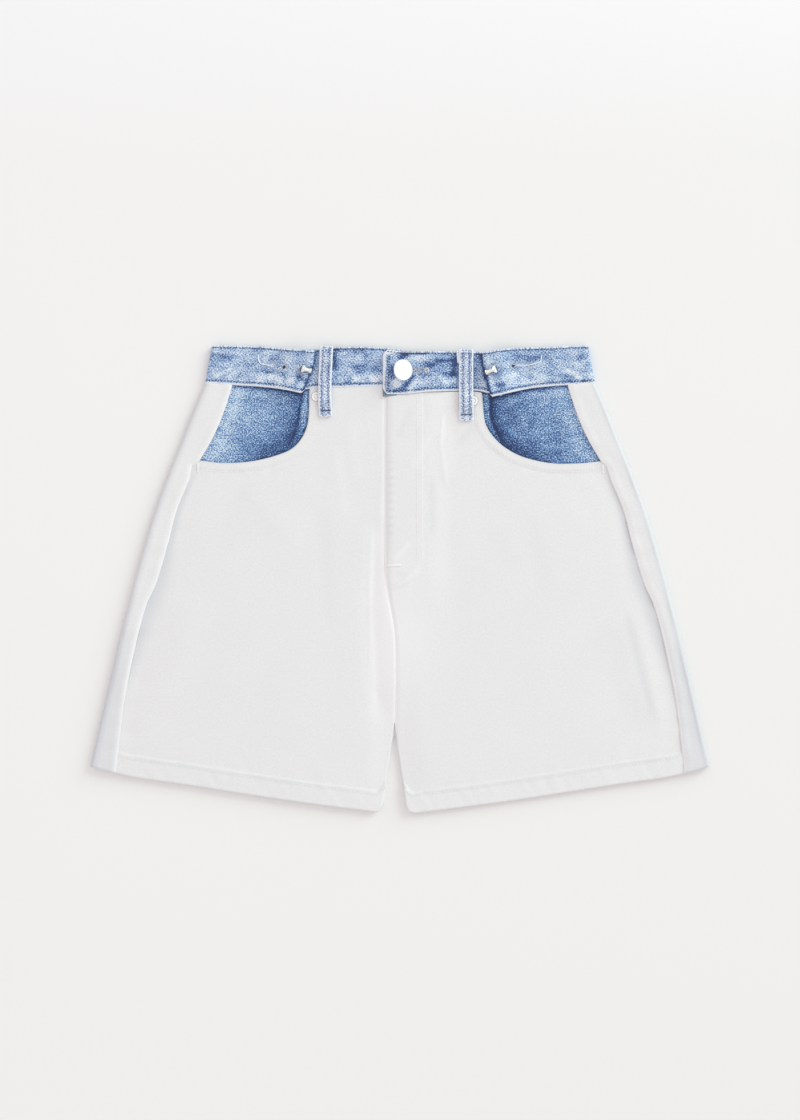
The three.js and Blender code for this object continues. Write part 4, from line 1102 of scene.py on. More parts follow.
def band_path(v):
    """Points x, y, z of one long line of the band, from its hidden end to its tab."""
    path = []

    def go(xs, zs, run):
        xs, zs = np.atleast_1d(np.asarray(xs, float)), np.atleast_1d(np.asarray(zs, float))
        xs, zs = np.broadcast_arrays(xs, zs)
        path.extend(zip(xs, band_edge_at(run, xs, v), zs))

    def turn(x, low, high, way, run_from, run_to):
        radius = abs(high - low) / 2
        t = np.linspace(0, 1, TURN_STEPS + 1)
        out = x - way * radius + way * radius * np.sin(t * math.pi)
        y = mix(band_edge_at(run_from, out, v), band_edge_at(run_to, out, v), t)
        path.extend(zip(out, y, (low + high) / 2 - (high - low) / 2 * np.cos(t * math.pi)))

    def straight(x0, x1, z, run):
        go(np.linspace(x0, x1, 12)[1:-1], z, run)

    side_x = mix(BAND_SIDE_TOP, BAND_SIDE_FOOT, v)
    left, right = PLEATS[-1], PLEATS[1]
    left_edge, right_edge = pleat_edge(-1, v), pleat_edge(1, v)
    flat, fold, high = band_level(1), band_level(2), band_level(3)
    ramp = np.linspace(0, 1, RAMP_STEPS + 1)
    left_inner, right_inner = left_edge - left["depth"], right_edge + right["depth"]

    go(np.linspace(BAND_HIDDEN_END_X, left_edge - 2, 30), flat, "left_centre")
    turn(left_inner, flat, fold, -1, "left_centre", "left_centre")
    turn(left_edge, fold, high, 1, "left_centre", "left_side")
    go(left_inner - ramp * left["ramp"], mix(high, flat, ease(ramp)), "left_side")
    straight(left_inner - left["ramp"], -side_x + BAND_SIDE_RUN, flat, "left_side")
    go(-side_x + BAND_SIDE_RUN, SIDE_ROLL_TOP, "left_side")
    turn(-side_x, SIDE_ROLL_TOP, band_level(0), -1, "left_side", "back")
    go(np.linspace(-150, 150, 61), band_level(0), "back")
    turn(side_x, band_level(0), SIDE_ROLL_TOP, 1, "back", "right_side")
    go(side_x - BAND_SIDE_RUN, SIDE_ROLL_TOP, "right_side")
    straight(side_x - BAND_SIDE_RUN, right_inner + right["ramp"], flat, "right_side")
    go(right_inner + ramp[::-1] * right["ramp"], mix(high, flat, ease(ramp[::-1])), "right_side")
    turn(right_edge, high, fold, -1, "right_side", "right_centre")
    turn(right_inner, fold, flat, 1, "right_centre", "right_centre")
    go(np.linspace(78, TAB_RUN + 1, 10), flat, "right_centre")
    go(mix(TAB_RUN, TAB_FLAT, ramp), mix(flat, fold, ease(ramp)), "right_centre")
    tab_top, tab_foot = (float(band_edge_at("right_centre", TAB_END, share)) for share in (0, 1))
    from_edge = min(v, 1 - v) * (tab_top - tab_foot)
    inside = max(0.0, TAB_CORNER - from_edge)
    tab_end = TAB_END + BAND_INSET + TAB_CORNER - math.sqrt(TAB_CORNER ** 2 - inside ** 2)
    go(np.linspace(TAB_FLAT - 1, tab_end, 28), fold, "right_centre")
    return np.array(path)


# Creases of the band: two ends, width, relief, and painted shade, which is a painted highlight where it is
# negative.
CREASE_COLUMNS = ("x0", "y0", "x1", "y1", "width", "height", "painted_shade_and_tone")
BAND_CREASES = columns(CREASE_COLUMNS, [
    (-0.5, 205.5, 6.0, 211.5, 3.2, -0.6, 1.5),
    (3.0, 211.5, 27.0, 213.0, 1.9, -0.5, 1.4),
    (6.0, 207.0, 30.0, 208.0, 2.6, 0.4, -0.5),
    (13.0, 190.5, 3.0, 177.5, 2.3, -0.7, 1.3),
    (2.0, 177.0, -7.0, 176.0, 1.9, -0.4, 1.1),
    (18.0, 190.0, 8.0, 176.5, 3.0, 0.5, -0.6),
    (-7.2, 201.0, -7.2, 188.0, 2.2, -0.4, 1.0),
    (-5.5, 186.5, -1.0, 180.5, 4.0, 0.3, -1.3),
    (24.0, 200.0, 33.0, 200.5, 1.7, -0.3, 0.8),
    (33.0, 204.0, 51.0, 205.0, 1.5, -0.3, 1.1),
    (38.0, 193.5, 54.0, 191.5, 1.6, -0.3, 1.0),
    (17.0, 190.5, 30.0, 190.0, 1.8, -0.2, 0.7),
    (-62.0, 217.0, -61.5, 195.0, 2.6, -0.2, 1.2),
    (52.0, 209.0, 50.0, 190.0, 3.6, -0.3, 1.2),
    (-178.0, 209.5, -152.0, 208.5, 1.6, -0.25, 0.45),
    (-174.0, 189.0, -158.0, 197.5, 1.6, 0.3, -1.0),
    (-128.0, 194.5, -111.0, 193.5, 1.6, -0.25, 0.7),
    (-97.0, 190.5, -88.0, 184.5, 2.0, -0.4, 1.2),
    (-109.0, 193.0, -108.0, 181.5, 2.0, -0.3, 0.7),
    (-123.0, 189.0, -114.0, 187.5, 3.2, 0.3, -0.7),
    (-105.0, 187.0, -98.5, 184.5, 3.2, 0.3, -0.6),
    (88.0, 184.5, 111.0, 192.0, 2.0, 0.35, -0.7),
    (86.0, 180.0, 98.0, 181.5, 2.4, -0.4, 1.1),
    (109.0, 208.5, 137.0, 207.5, 2.0, -0.25, 0.8),
    (148.0, 207.5, 176.0, 208.0, 2.2, -0.25, 0.6),
    (156.0, 196.5, 170.0, 187.5, 1.6, 0.3, -1.0),
    (126.0, 190.0, 140.0, 187.0, 3.2, 0.3, -0.5),
    (-38.0, 214.0, -30.0, 208.0, 3.0, 0.2, 0.7),
    (-47.0, 197.0, -40.0, 186.0, 3.0, 0.2, -0.9),
    (-28.0, 190.0, -22.0, 184.0, 3.0, 0.2, -0.9),
    (36.0, 188.0, 46.0, 184.0, 3.0, 0.2, -0.9),
])
EYELETS = {-1: (-108.6, 198.4), 1: (105.8, 199.0)}
TAB_TOP_FRAY = (-14.0, 212.0, -2.0, 213.6, 2.2)
HIDDEN_SHADE, STUD_SHADE, EYELET_SHADE = 0.2, 1.8, 2.2
EYELET_SINK = 1.1
TOP_ROW, FOOT_ROW = 1.0, 2.2
FOOT_GROOVE = 0.28
STUD_SHADES = [(-82.6, 197.6), (-84.0, 191.6), (79.4, 196.4), (81.3, 190.0)]


def band_grid():
    """Middle surface of the band, how far along each column lies, and how far down each row."""
    edge = np.array(BAND_EDGE_ROWS) / BAND_HEIGHT
    rows = np.unique(np.concatenate([edge, np.linspace(edge[-1], 1 - edge[-1], 18), 1 - edge]))
    inset = [mix(BAND_INSET, BAND_HEIGHT - BAND_INSET, v) / BAND_HEIGHT for v in rows]
    coarse = [band_path(v) for v in inset]
    run = lengths(coarse[len(coarse) // 2])
    spread = np.unique(np.concatenate([np.arange(0, run[-1], BAND_STEP), run]))
    spread = spread[np.concatenate([[True], np.diff(spread) > 0.25])]
    spread[-1] = run[-1]
    lines = [np.stack([np.interp(spread, run, p[:, k]) for k in range(3)], axis=1) for p in coarse]
    return np.stack(lines), spread, rows


PLEAT_SHADE = {"under": 1.5, "behind": 0.5, "fold": 2.6}
PLEAT_HIGHLIGHT = 0.5
BAND_DARKER, BAND_MIDDLE_DARKER = -0.12, 0.16
BAND_CLOUDS, BAND_SPECKS = 0.3, 0.4


def pleat_shade(side, x, z, v):
    """Painted shade under a pleat's fold and along it, and a painted highlight just back from its fold."""
    inward = -side * (x - pleat_edge(side, v))
    under = (z < band_level(2)) & (inward > -1)
    over = (z > band_level(2)) & (np.abs(inward) < 40)
    shade_under_fold = PLEAT_SHADE["under"] * bump(np.maximum(inward, 0), 2.0 + 3.0 * (1 - v))
    shade_under_fold = shade_under_fold + PLEATS[side]["shade"] * bump(inward - 0.6, 1.2)
    shade_on_fold = PLEAT_SHADE["behind"] * bump(inward + 9, 3.0) * ease(v * 2)
    shade_on_fold = shade_on_fold + PLEAT_SHADE["fold"] * bump(inward - 0.2, 1.3) * ease(v * 4 - 1.0)
    wear_and_painted_highlight = PLEAT_HIGHLIGHT * bump(inward + 3.5, 2.0)
    return np.where(under, shade_under_fold, 0) + np.where(over, shade_on_fold, 0), np.where(over, wear_and_painted_highlight, 0)


def waistband():
    """The band, its outer points, how far down its rows lie, and which of its points show."""
    middle, spread, v_rows = band_grid()
    flow = unit(np.gradient(middle, axis=1)[..., [0, 2]])
    normal = np.stack([flow[..., 1], 0 * flow[..., 0], -flow[..., 0]], axis=-1)
    x, y, z = middle[..., 0], middle[..., 1], middle[..., 2]
    s = np.broadcast_to(spread, x.shape)
    v = np.broadcast_to(v_rows[:, None], x.shape)
    to_end = spread[-1] - s
    from_top, from_foot = v * BAND_HEIGHT, (1 - v) * BAND_HEIGHT
    from_edge = np.minimum(v, 1 - v) * BAND_HEIGHT
    from_tab = np.where(to_end < 60, to_end, 60.0)
    tab_corner = (to_end < 20) & (v < 0.5)
    from_tab = np.where(tab_corner, np.minimum(from_tab, from_top + 0.12 * to_end), from_tab)
    on_front = (normal[..., 2] > 0) & (z > band_level(0) + 1.0)
    rise = 0.25 * uneven(s, y, 30, 201) + 0.14 * uneven(s, y, 11, 211)
    rise = rise + ripple(0.22, from_edge - 1.2, 3.2, s, 0 * y, 5.0, 221)
    rise = rise - FOOT_GROOVE * bump(from_foot - FOOT_ROW, 0.7)
    # Painted shade: dashes along the stitch rows, lines along the creases and pleats, and spots at the
    # eyelets and studs; the clouds are the wash's own tone.
    dashes = 0.6 + 0.6 * np.cos(s * 2 * math.pi / BAND_STITCH)
    painted_shade_and_tone = (0.6 * bump(from_foot - FOOT_ROW, 0.9) + 0.7 * bump(from_top - TOP_ROW, 0.9)) * dashes
    painted_shade_and_tone = painted_shade_and_tone + BAND_CLOUDS * ease((uneven(s * 0.35, y, 9, 231) - 0.1) * 2.5)
    painted_shade_and_tone = painted_shade_and_tone + BAND_MIDDLE_DARKER * ease((78 - np.abs(x)) / 8) + BAND_DARKER
    # Lighter specks of wear near the foot and the edges.
    wear_and_painted_highlight = BAND_SPECKS * bump(from_foot - 7.5, 3.5) * ease(uneven(s, 0 * y, 6.5, 241) * 3)
    wear_and_painted_highlight = wear_and_painted_highlight + BAND_SPECKS * bump(from_edge - 7, 4) * ease(uneven(s, 0 * y + 40, 7, 251) * 3)
    # Painted shade under and along the pleats, and a painted highlight by their folds.
    for side in (-1, 1):
        darker, lighter = pleat_shade(side, x, z, v)
        painted_shade_and_tone, wear_and_painted_highlight = painted_shade_and_tone + darker, wear_and_painted_highlight + lighter
    # Creases: painted shade in their dips, and painted highlights on their ridges.
    for x0, y0, x1, y1, width, height, dark in zip(*(BAND_CREASES[k] for k in CREASE_COLUMNS)):
        at = crease(x, y, x0, y0, x1, y1, width)
        rise, painted_shade_and_tone = rise + height * at, painted_shade_and_tone + dark * at
    for ex, ey in EYELETS.values():
        away = np.hypot(x - ex, y - ey)
        rise, painted_shade_and_tone = rise - EYELET_SINK * bump(away, 1.8), painted_shade_and_tone + EYELET_SHADE * bump(away, 1.5)
    for sx, sy in STUD_SHADES:
        painted_shade_and_tone = painted_shade_and_tone + STUD_SHADE * bump(np.hypot(x - sx, y - sy), 1.3)
    visible = np.where(on_front, 1.0, 0.0)
    lift = normal * (rise * visible)[..., None]
    lift[..., 1] = 0
    outer = middle + lift + normal * BAND_CLOTH / 2
    inner = middle + lift * 0.3 - normal * BAND_CLOTH / 2
    tab_fray = 1.3 - from_tab / mix(1.2, 2.6, ease((y - 180) / 30))
    frays = [np.clip(1.1 - from_foot, 0, 1), np.clip(0.62 - from_top, 0, 1), np.clip(tab_fray, 0, 1),
             1.3 * crease(x, y, *TAB_TOP_FRAY) * (to_end < 40)]
    masks = {"painted_shade_and_tone": painted_shade_and_tone * visible + HIDDEN_SHADE * (1 - visible), "wear_and_painted_highlight": wear_and_painted_highlight,
             "edge": np.maximum.reduce(frays)}
    piece = shell("waistband_cloth", outer, inner, np.dstack([-s, y]), masks)
    finish_piece(piece, "band", ["waistband"])
    return piece, outer, v_rows, on_front


band, band_outer, band_rows, band_front = waistband()


# Belt loops
LOOPS = {
    -1: {"top_x": -68.5, "foot_x": -69.6, "bow": -1.4, "top_y": 217.2, "foot_y": 152.4, "width": 10.8,
         "low": 160.0},
    1: {"top_x": 62.0, "foot_x": 62.2, "bow": 0.0, "top_y": 214.5, "foot_y": 148.6, "width": 11.8,
        "low": 155.0},
}
RIVET_HEIGHT = 1.2


def loop_height(loop, y):
    """Middle of a loop's cloth: over the band and the rivet, then down onto the front."""
    over = max(band_top(1), FRONT_TOP + SEAM + RIVET_HEIGHT) + SEAM + LOOP_CLOTH / 2
    on_front = FRONT_TOP + SEAM + LOOP_CLOTH / 2
    drop = np.interp(-y, [-loop["low"] - 8, -loop["low"] - 2, -loop["low"] + 4], [0.0, 0.5, 1.0])
    return mix(over, on_front, ease(drop)) - LAYER * ease((y - loop["top_y"] + 3) / 3)


LOOP_ROWS = 3.0
LOOP_ROUND = 1.4


def loop_x(loop, y):
    """Middle of a loop at each height."""
    t = (loop["top_y"] - y) / (loop["top_y"] - loop["foot_y"])
    return mix(loop["top_x"], loop["foot_x"], t) + loop["bow"] * np.sin(t * math.pi)


def loop_half(loop, y):
    """Half the width of a loop, drawn in a little at its round foot corners."""
    up = np.clip((y - loop["foot_y"]) / LOOP_ROUND, 0, 1)
    return loop["width"] / 2 - LOOP_ROUND * 0.8 * (1 - np.sqrt(1 - (1 - up) ** 2))


def belt_loop(side):
    """A loop with a raised middle between its two rows of stitches."""
    name = SIDE_NAME[side]
    loop = LOOPS[side]
    t = np.unique(np.concatenate([np.linspace(0, 0.96, 74), np.linspace(0.96, 1, 10)]))[:, None]
    e = np.linspace(-1, 1, 24)[None]
    off = e * loop["width"] / 2
    wander = 0.35 * uneven(t * 66, 0 * t, 16, 301 + side)
    y = mix(loop["top_y"], loop["foot_y"], t) + 0 * e
    x = loop_x(loop, y) + e * loop_half(loop, y) + wander
    from_side = loop["width"] / 2 - np.abs(off) + 0 * t
    from_row = np.abs(np.abs(off) - LOOP_ROWS) + 0 * t
    from_foot, from_top = y - loop["foot_y"], loop["top_y"] - y
    z = loop_height(loop, y) + 0.3 * uneven(x, y, 12, 311 + side) + 0.35 * bump(off, 2.2)
    z = z + ripple(0.18, from_side, 3.5, x * 0.3, y, 4.5, 321 + side) - 0.3 * bump(from_row, 0.8)
    from_end = np.minimum(from_foot, from_top)
    half = LOOP_CLOTH / 2
    # Painted shade in the grooves of the stitch rows and along the bar tacks; lighter down the raised middle;
    # frayed at the edges.
    masks = {
        "painted_shade_and_tone": 0.5 * bump(from_row, 0.9)
                + 0.4 * bump(from_foot - 5.4, 1.0) + 0.4 * bump(from_top - 3.6, 0.8),
        "wear_and_painted_highlight": 0.7 * bump(off, 1.4) * ease(uneven(x, y, 9, 331) * 2 + 0.8),
        "edge": np.clip(1.2 - np.minimum(from_side, from_end + 0.4) / 0.9, 0, 1),
    }
    piece = cloth(f"loop_{name}_cloth", x, y, z - half, z + half, np.dstack([x, y]), masks)
    return finish_piece(piece, "loop", [f"belt_loop_{name}"])


FLAP_HALF = 0.4
LINING_HALF = 0.3


def loop_flap():
    """Edge of the right-hand loop's end, folded under and showing beside its top."""
    loop = LOOPS[1]
    down = np.linspace(0, 1, 16)[:, None]
    out = np.linspace(0, 1, 6)[None]
    y = loop["top_y"] - 1.2 - 10.5 * down + 0 * out
    x = loop["top_x"] - loop["width"] / 2 + 1.0 - (3.0 + 0.8 * (1 - down)) * out
    z = loop_height(loop, y) - LOOP_CLOTH / 2 + FLAP_HALF + 0.15 * bump(out - 0.7, 0.3)
    # Painted shade along the side that goes under the loop.
    masks = {"painted_shade_and_tone": 0.8 * bump(out, 0.35) + 0 * down, "wear_and_painted_highlight": 0 * x, "edge": ease(out * 2 - 0.6) + 0 * down}
    piece = cloth("loop_right_flap", x, y, z - FLAP_HALF, z + FLAP_HALF, np.dstack([x, y]), masks)
    return finish_piece(piece, "loop", ["belt_loop_right"])


def band_lining():
    """Corner of the band's inner layer, showing below the tab's round corner."""
    across = np.linspace(0, 1, 12)[None]
    down = np.linspace(0, 1, 14)[:, None]
    x = mix(-15.9, -3.0, across) + 0.25 * uneven(down * 9, 0 * down, 3, 341) * (1 - across)
    y = mix(181.0, 170.9 + 1.3 * across, down)
    z = mix(6.45, 5.0, ease((y - 172.3) / 2.2)) + 0.1 * uneven(x, y, 5, 351)
    piece = cloth("waistband_lining", x, y, z - LINING_HALF, z + LINING_HALF, np.dstack([x, y]))
    return finish_piece(piece, "lining", ["waistband"])


flap = loop_flap()
lining = band_lining()
loops = {side: belt_loop(side) for side in (-1, 1)}


# Metal: turned shapes
def turned(profile, sides):
    """Points and faces of a profile of (radius, height) turned about Z; its ends lie on the axis."""
    rings = [p for p in profile if p[0] > 0]
    angles = np.arange(sides) * 2 * math.pi / sides
    points = [(0, 0, profile[0][1])]
    for radius, height in rings:
        points += [(radius * math.cos(a), radius * math.sin(a), height) for a in angles]
    points.append((0, 0, profile[-1][1]))
    faces = []
    for k in range(sides):
        n = (k + 1) % sides
        faces.append((0, 1 + n, 1 + k))
        last = 1 + (len(rings) - 1) * sides
        faces.append((len(points) - 1, last + k, last + n))
        for r in range(len(rings) - 1):
            low, up = 1 + r * sides, 1 + (r + 1) * sides
            faces.append((low + k, low + n, up + n, up + k))
    return np.array(points, float), faces


def rounded(profile, radius=0.15, steps=3):
    """The profile with each inner corner cut round."""
    out = [profile[0]]
    for a, b, c in zip(profile[:-2], profile[1:-1], profile[2:]):
        a, b, c = (np.array(p, float) for p in (a, b, c))
        back, on = np.linalg.norm(a - b), np.linalg.norm(c - b)
        cut = min(radius, back * 0.45, on * 0.45)
        p, q = b + (a - b) / back * cut, b + (c - b) / on * cut
        for t in np.linspace(0, 1, steps):
            out.append(tuple((1 - t) ** 2 * p + 2 * t * (1 - t) * b + t * t * q))
    out.append(profile[-1])
    return out


def mesh_with(parts, name):
    """One piece from several lots of points and faces."""
    points, faces, start = [], [], 0
    for lot, sides in parts:
        points.append(lot)
        faces += [tuple(i + start for i in face) for face in sides]
        start += len(lot)
    return mesh_of(name, np.vstack(points), faces)


BUTTON = {"x": 2.9, "y": 195.3, "radius": 9.8, "tilt": 28.0, "shank": 2.4, "rim": 0.9, "dome": 1.7}
RIVETS = {-1: {"x": -78.8, "y": 171.0, "radius": 4.4}, 1: {"x": 68.6, "y": 167.0, "radius": 4.7}}
STUDS = {
    -1: {"flange": (-90.9, 196.5), "collar": (-83.9, 194.6)},
    1: {"flange": (88.8, 196.0), "collar": (81.0, 193.2)},
}
STUD = {"flange": 3.0, "thick": 1.1, "shank": 1.35, "collar": 2.2}


def tack_button():
    """The button's domed head, leaning on its shank."""
    b = BUTTON
    lean = math.radians(b["tilt"])
    low, clear = band_top(1) + SEAM, band_top(2) + SEAM
    head_z = clear + b["radius"] * math.sin(lean) + b["rim"] * math.cos(lean)
    r = b["radius"]
    head, faces = turned(rounded([
        (0, -b["rim"]), (r * 0.94, -b["rim"]), (r, -b["rim"] * 0.3), (r, b["rim"] * 0.35),
        (r * 0.93, b["rim"]), (r * 0.84, b["rim"] * 0.95), (r * 0.76, b["rim"] * 1.15),
        (r * 0.5, b["dome"] * 0.9), (r * 0.25, b["dome"] * 0.98), (0, b["dome"]),
    ], 0.5, 5), 96)
    turn = np.array([[math.cos(lean), 0, math.sin(lean)], [0, 1, 0], [-math.sin(lean), 0, math.cos(lean)]])
    head = head @ turn.T + [b["x"], b["y"], head_z]
    shank, shank_faces = turned(rounded([(0, low), (b["shank"], low), (b["shank"], head_z), (0, head_z)]), 32)
    shank = shank + [b["x"], b["y"], 0]
    piece = mesh_with([(head, faces), (shank, shank_faces)], "button_metal")
    return finish_piece(piece, "enamel", ["button"])


def rivet(side):
    """A rivet with a round hollow and a small nub in its middle."""
    at = RIVETS[side]
    r, h = at["radius"], RIVET_HEIGHT
    points, faces = turned(rounded([
        (0, 0), (r, 0), (r, h * 0.45), (r * 0.92, h * 0.8), (r * 0.8, h), (r * 0.62, h * 0.95),
        (r * 0.5, h * 0.5), (r * 0.44, h * 0.35), (r * 0.34, h * 0.55), (r * 0.25, h * 1.0), (0, h * 1.1),
    ], 0.2, 4), 64)
    points = points + [at["x"], at["y"], FRONT_TOP + SEAM]
    name = SIDE_NAME[side]
    out = np.hypot(points[:, 0] - at["x"], points[:, 1] - at["y"]) / r
    piece = mesh_with([(points, faces)], f"rivet_{name}_metal")
    # Painted shade in a ring inside the hollow and round the rim.
    write_value(piece, "painted_shade_and_tone", 0.35 * bump(out - 0.45, 0.07) + 0.8 * ease((out - 0.91) / 0.07))
    return finish_piece(piece, "enamel", [f"rivet_{name}"])


def aligned(points, way):
    """Points turned so that their Z axis lies this way."""
    z = unit(np.array(way, float))
    x = unit(np.cross([0.0, 1.0, 0.0], z))
    return points @ np.stack([x, np.cross(z, x), z])


STUD_TILT = 0.9


def stud(side):
    """A spool-shaped stud: a flange and a collar on a short rod, with painted shade at their far sides and
    under the rod.
    """
    at = STUDS[side]
    base = band_top(3) + SEAM
    a = np.array([*at["flange"], base + STUD["flange"]])
    b = np.array([*at["collar"], base + STUD["collar"]])
    length = float(np.linalg.norm(b - a))
    way = (b - a) / length
    leaning = way + [0, 0, -STUD_TILT]
    f, c, t = STUD["flange"] + 0.4, STUD["collar"] + 0.3, STUD["thick"]
    rod, rod_faces = turned(rounded([
        (0, 0), (STUD["shank"] * 1.9, 0), (STUD["shank"] * 1.25, 1.2), (STUD["shank"] * 1.15, length - 1.2),
        (STUD["shank"] * 1.5, length), (0, length)], 0.3, 4), 40)
    disc, disc_faces = turned(rounded([
        (0, -t / 2), (f * 0.8, -t / 2), (f, -t * 0.15), (f, t * 0.15), (f * 0.86, t / 2), (f * 0.7, t * 0.3),
        (0, t * 0.35)], 0.25, 4), 56)
    end, end_faces = turned(rounded([
        (0, -t / 2), (c * 0.8, -t / 2), (c, 0), (c * 0.8, t / 2), (0, t / 2)], 0.25, 4), 40)
    parts = [(aligned(rod, way) + a, rod_faces), (aligned(disc, -leaning) + a, disc_faces),
             (aligned(end, leaning) + b, end_faces)]
    name = SIDE_NAME[side]
    piece = mesh_with(parts, f"stud_{name}_metal")
    outward = unit(-way[:2])
    rod_at, disc_at, end_at = (lot for lot, _ in parts)
    # Painted shade on the rod below its base, and on the far sides of the flange and the collar.
    write_value(piece, "painted_shade_and_tone", np.concatenate([
        0.7 * ease((a[2] - 0.2 - rod_at[:, 2]) / 0.8),
        ease(((disc_at[:, :2] - a[:2]) @ outward - 0.15 * f) / (0.3 * f)),
        ease(((b[:2] - end_at[:, :2]) @ outward - 0.3 * c) / (0.4 * c)),
    ]))
    return finish_piece(piece, "steel", [f"cinch_stud_{name}"])


tack_button()
for side in (-1, 1):
    rivet(side)
    stud(side)


# Sewing: every stitch is a short arch of thread
def landing(*pieces):
    """Search tree over the surfaces of some pieces, in millimetres."""
    points, faces, start = [], [], 0
    for piece in pieces:
        mesh = piece.data
        flat = np.empty(len(mesh.vertices) * 3)
        mesh.vertices.foreach_get("co", flat)
        points += (flat.reshape(-1, 3) / MM).tolist()
        faces += [tuple(i + start for i in p.vertices) for p in mesh.polygons]
        start += len(mesh.vertices)
    return BVHTree.FromPolygons(points, faces)


ABOVE = 50.0


def dropped(tree, line):
    """The plan line laid on what is under it."""
    out = []
    for x, y in line:
        hit = tree.ray_cast((x, y, ABOVE), (0, 0, -1))[0]
        out.append((x, y, hit.z if hit else FRONT_TOP))
    return np.array(out)


def tube(line, radius, sides=5):
    """Tube along a 3-D line with one radius a point, closed at both ends."""
    along_line = unit(np.gradient(line, axis=0))
    across_line = unit(np.cross(along_line, [0.0, 0.0, 1.0]))
    over = np.cross(across_line, along_line)
    radius = np.broadcast_to(radius, len(line))
    angles = np.arange(sides) * 2 * math.pi / sides
    points = [line[i] + radius[i] * (math.cos(a) * across_line[i] + math.sin(a) * over[i])
              for i in range(len(line)) for a in angles]
    faces = []
    for i in range(len(line) - 1):
        for k in range(sides):
            n = (k + 1) % sides
            faces.append((i * sides + k, i * sides + n, (i + 1) * sides + n, (i + 1) * sides + k))
    faces.append(tuple(range(sides))[::-1])
    last = (len(line) - 1) * sides
    faces.append(tuple(range(last, last + sides)))
    return np.array(points), faces


def stitches(line, pitch=3.0, share=0.78, radius=0.3, proud=0.16, slant=0.0):
    """Stitches along a 3-D line: each rises out of the cloth and goes back into it."""
    run = lengths(line)
    count = max(1, int(run[-1] / pitch))
    rings = np.linspace(0, 1, 5)
    arch = proud * (1 - (2 * rings - 1) ** 2 * 2.2)
    thick = radius * np.array([0.55, 0.95, 1.0, 0.95, 0.55])
    out = []
    for k in range(count):
        at = (k + 0.5 + (rings - 0.5) * share) * run[-1] / count
        p = np.stack([np.interp(at, run, line[:, i]) for i in range(3)], axis=1)
        p[:, 2] += arch
        p[:, 1] += slant * (0.5 - rings)
        out.append(tube(p, thick))
    return out


ACROSS = (-0.5, -0.25, 0, 0.25, 0.5)
ACROSS_TAPER = np.array([0.6, 1, 1, 1, 0.6])


def thread_across(tree, x, y, way, radius, level, arch):
    """One short thread over the cloth, centred on a point, as long as its way."""
    line = dropped(tree, [(x + way[0] * k, y + way[1] * k) for k in ACROSS])
    line[:, 2] = level(line[:, 2]) + np.array(arch)
    return tube(line, radius * ACROSS_TAPER)


def row_of(tree, line, *look, **named):
    """Stitches along a plan line, laid on what is under it."""
    return stitches(dropped(tree, line), *look, **named)


def bar_tack(tree, x0, y0, x1, y1, width, count, radius):
    """Dense threads side by side between two points."""
    dx, dy = x1 - x0, y1 - y0
    length = math.hypot(dx, dy)
    way = (-dy / length * width, dx / length * width)
    arch = (-0.2, 0.15, 0.25, 0.15, -0.2)
    return [thread_across(tree, x0 + dx * t, y0 + dy * t, way, radius, np.max, arch)
            for t in np.linspace(0, 1, count)]


def sewn(name, parts, material, node):
    """One piece of all this thread."""
    piece = mesh_with(parts, name)
    return finish_piece(piece, material, [node])


def offset_line(line, by):
    """The plan line moved sideways, to its left for a positive amount."""
    step = unit(np.gradient(line, axis=0))
    return line + by * np.stack([-step[:, 1], step[:, 0]], axis=1)


def satin(tree, outline, pitch, length, radius, stray):
    """Short threads side by side across an outline, as round a buttonhole."""
    spread = np.random.RandomState(29)
    outline = evenly(outline, max(4, int(lengths(outline)[-1] / pitch)))
    arch = (-0.15, 0.12, 0.2, 0.12, -0.15)
    out = []
    for (x, y), (dx, dy) in zip(outline, unit(np.gradient(outline, axis=0))):
        x, y = x + spread.uniform(-stray, stray), y + spread.uniform(-stray, stray)
        out.append(thread_across(tree, x, y, (-dy * length, dx * length), radius, np.median, arch))
    return out


def loose(tree, points, radius=0.46):
    """A loose end of thread lying on the cloth."""
    line = dropped(tree, spline(points, 40))
    line[:, 2] += 0.35
    line[:, 2] = np.convolve(np.pad(line[:, 2], 2, mode="edge"), np.ones(5) / 5, mode="valid")
    return [tube(line, radius * np.linspace(1, 0.6, len(line)), 8)]


def ring(x, y, rx, ry, turn=0.0, count=48):
    """Closed oval outline, turned by this angle."""
    a = np.linspace(0, 2 * math.pi, count)
    cos, sin = math.cos(turn), math.sin(turn)
    u, w = rx * np.cos(a), ry * np.sin(a)
    return np.stack([x + u * cos - w * sin, y + u * sin + w * cos], axis=1)


MOUTH_THREAD = {"pitch": 2.6, "radius": 0.24, "proud": 0.1}
HEM_THREAD = {"pitch": 3.2, "radius": 0.26, "proud": 0.1}
FLY_THREAD = {"pitch": 2.8, "radius": 0.24, "proud": 0.1}
FLY_TACK = {"x0": -12.6, "y0": 12.2, "x1": 0.5, "y1": 12.6, "width": 2.4, "count": 30, "radius": 0.4}
CORNER_TACK = {"out": 0.8, "from": 3.0, "to": 11.0}
HEM_STITCH_IN = 0.8


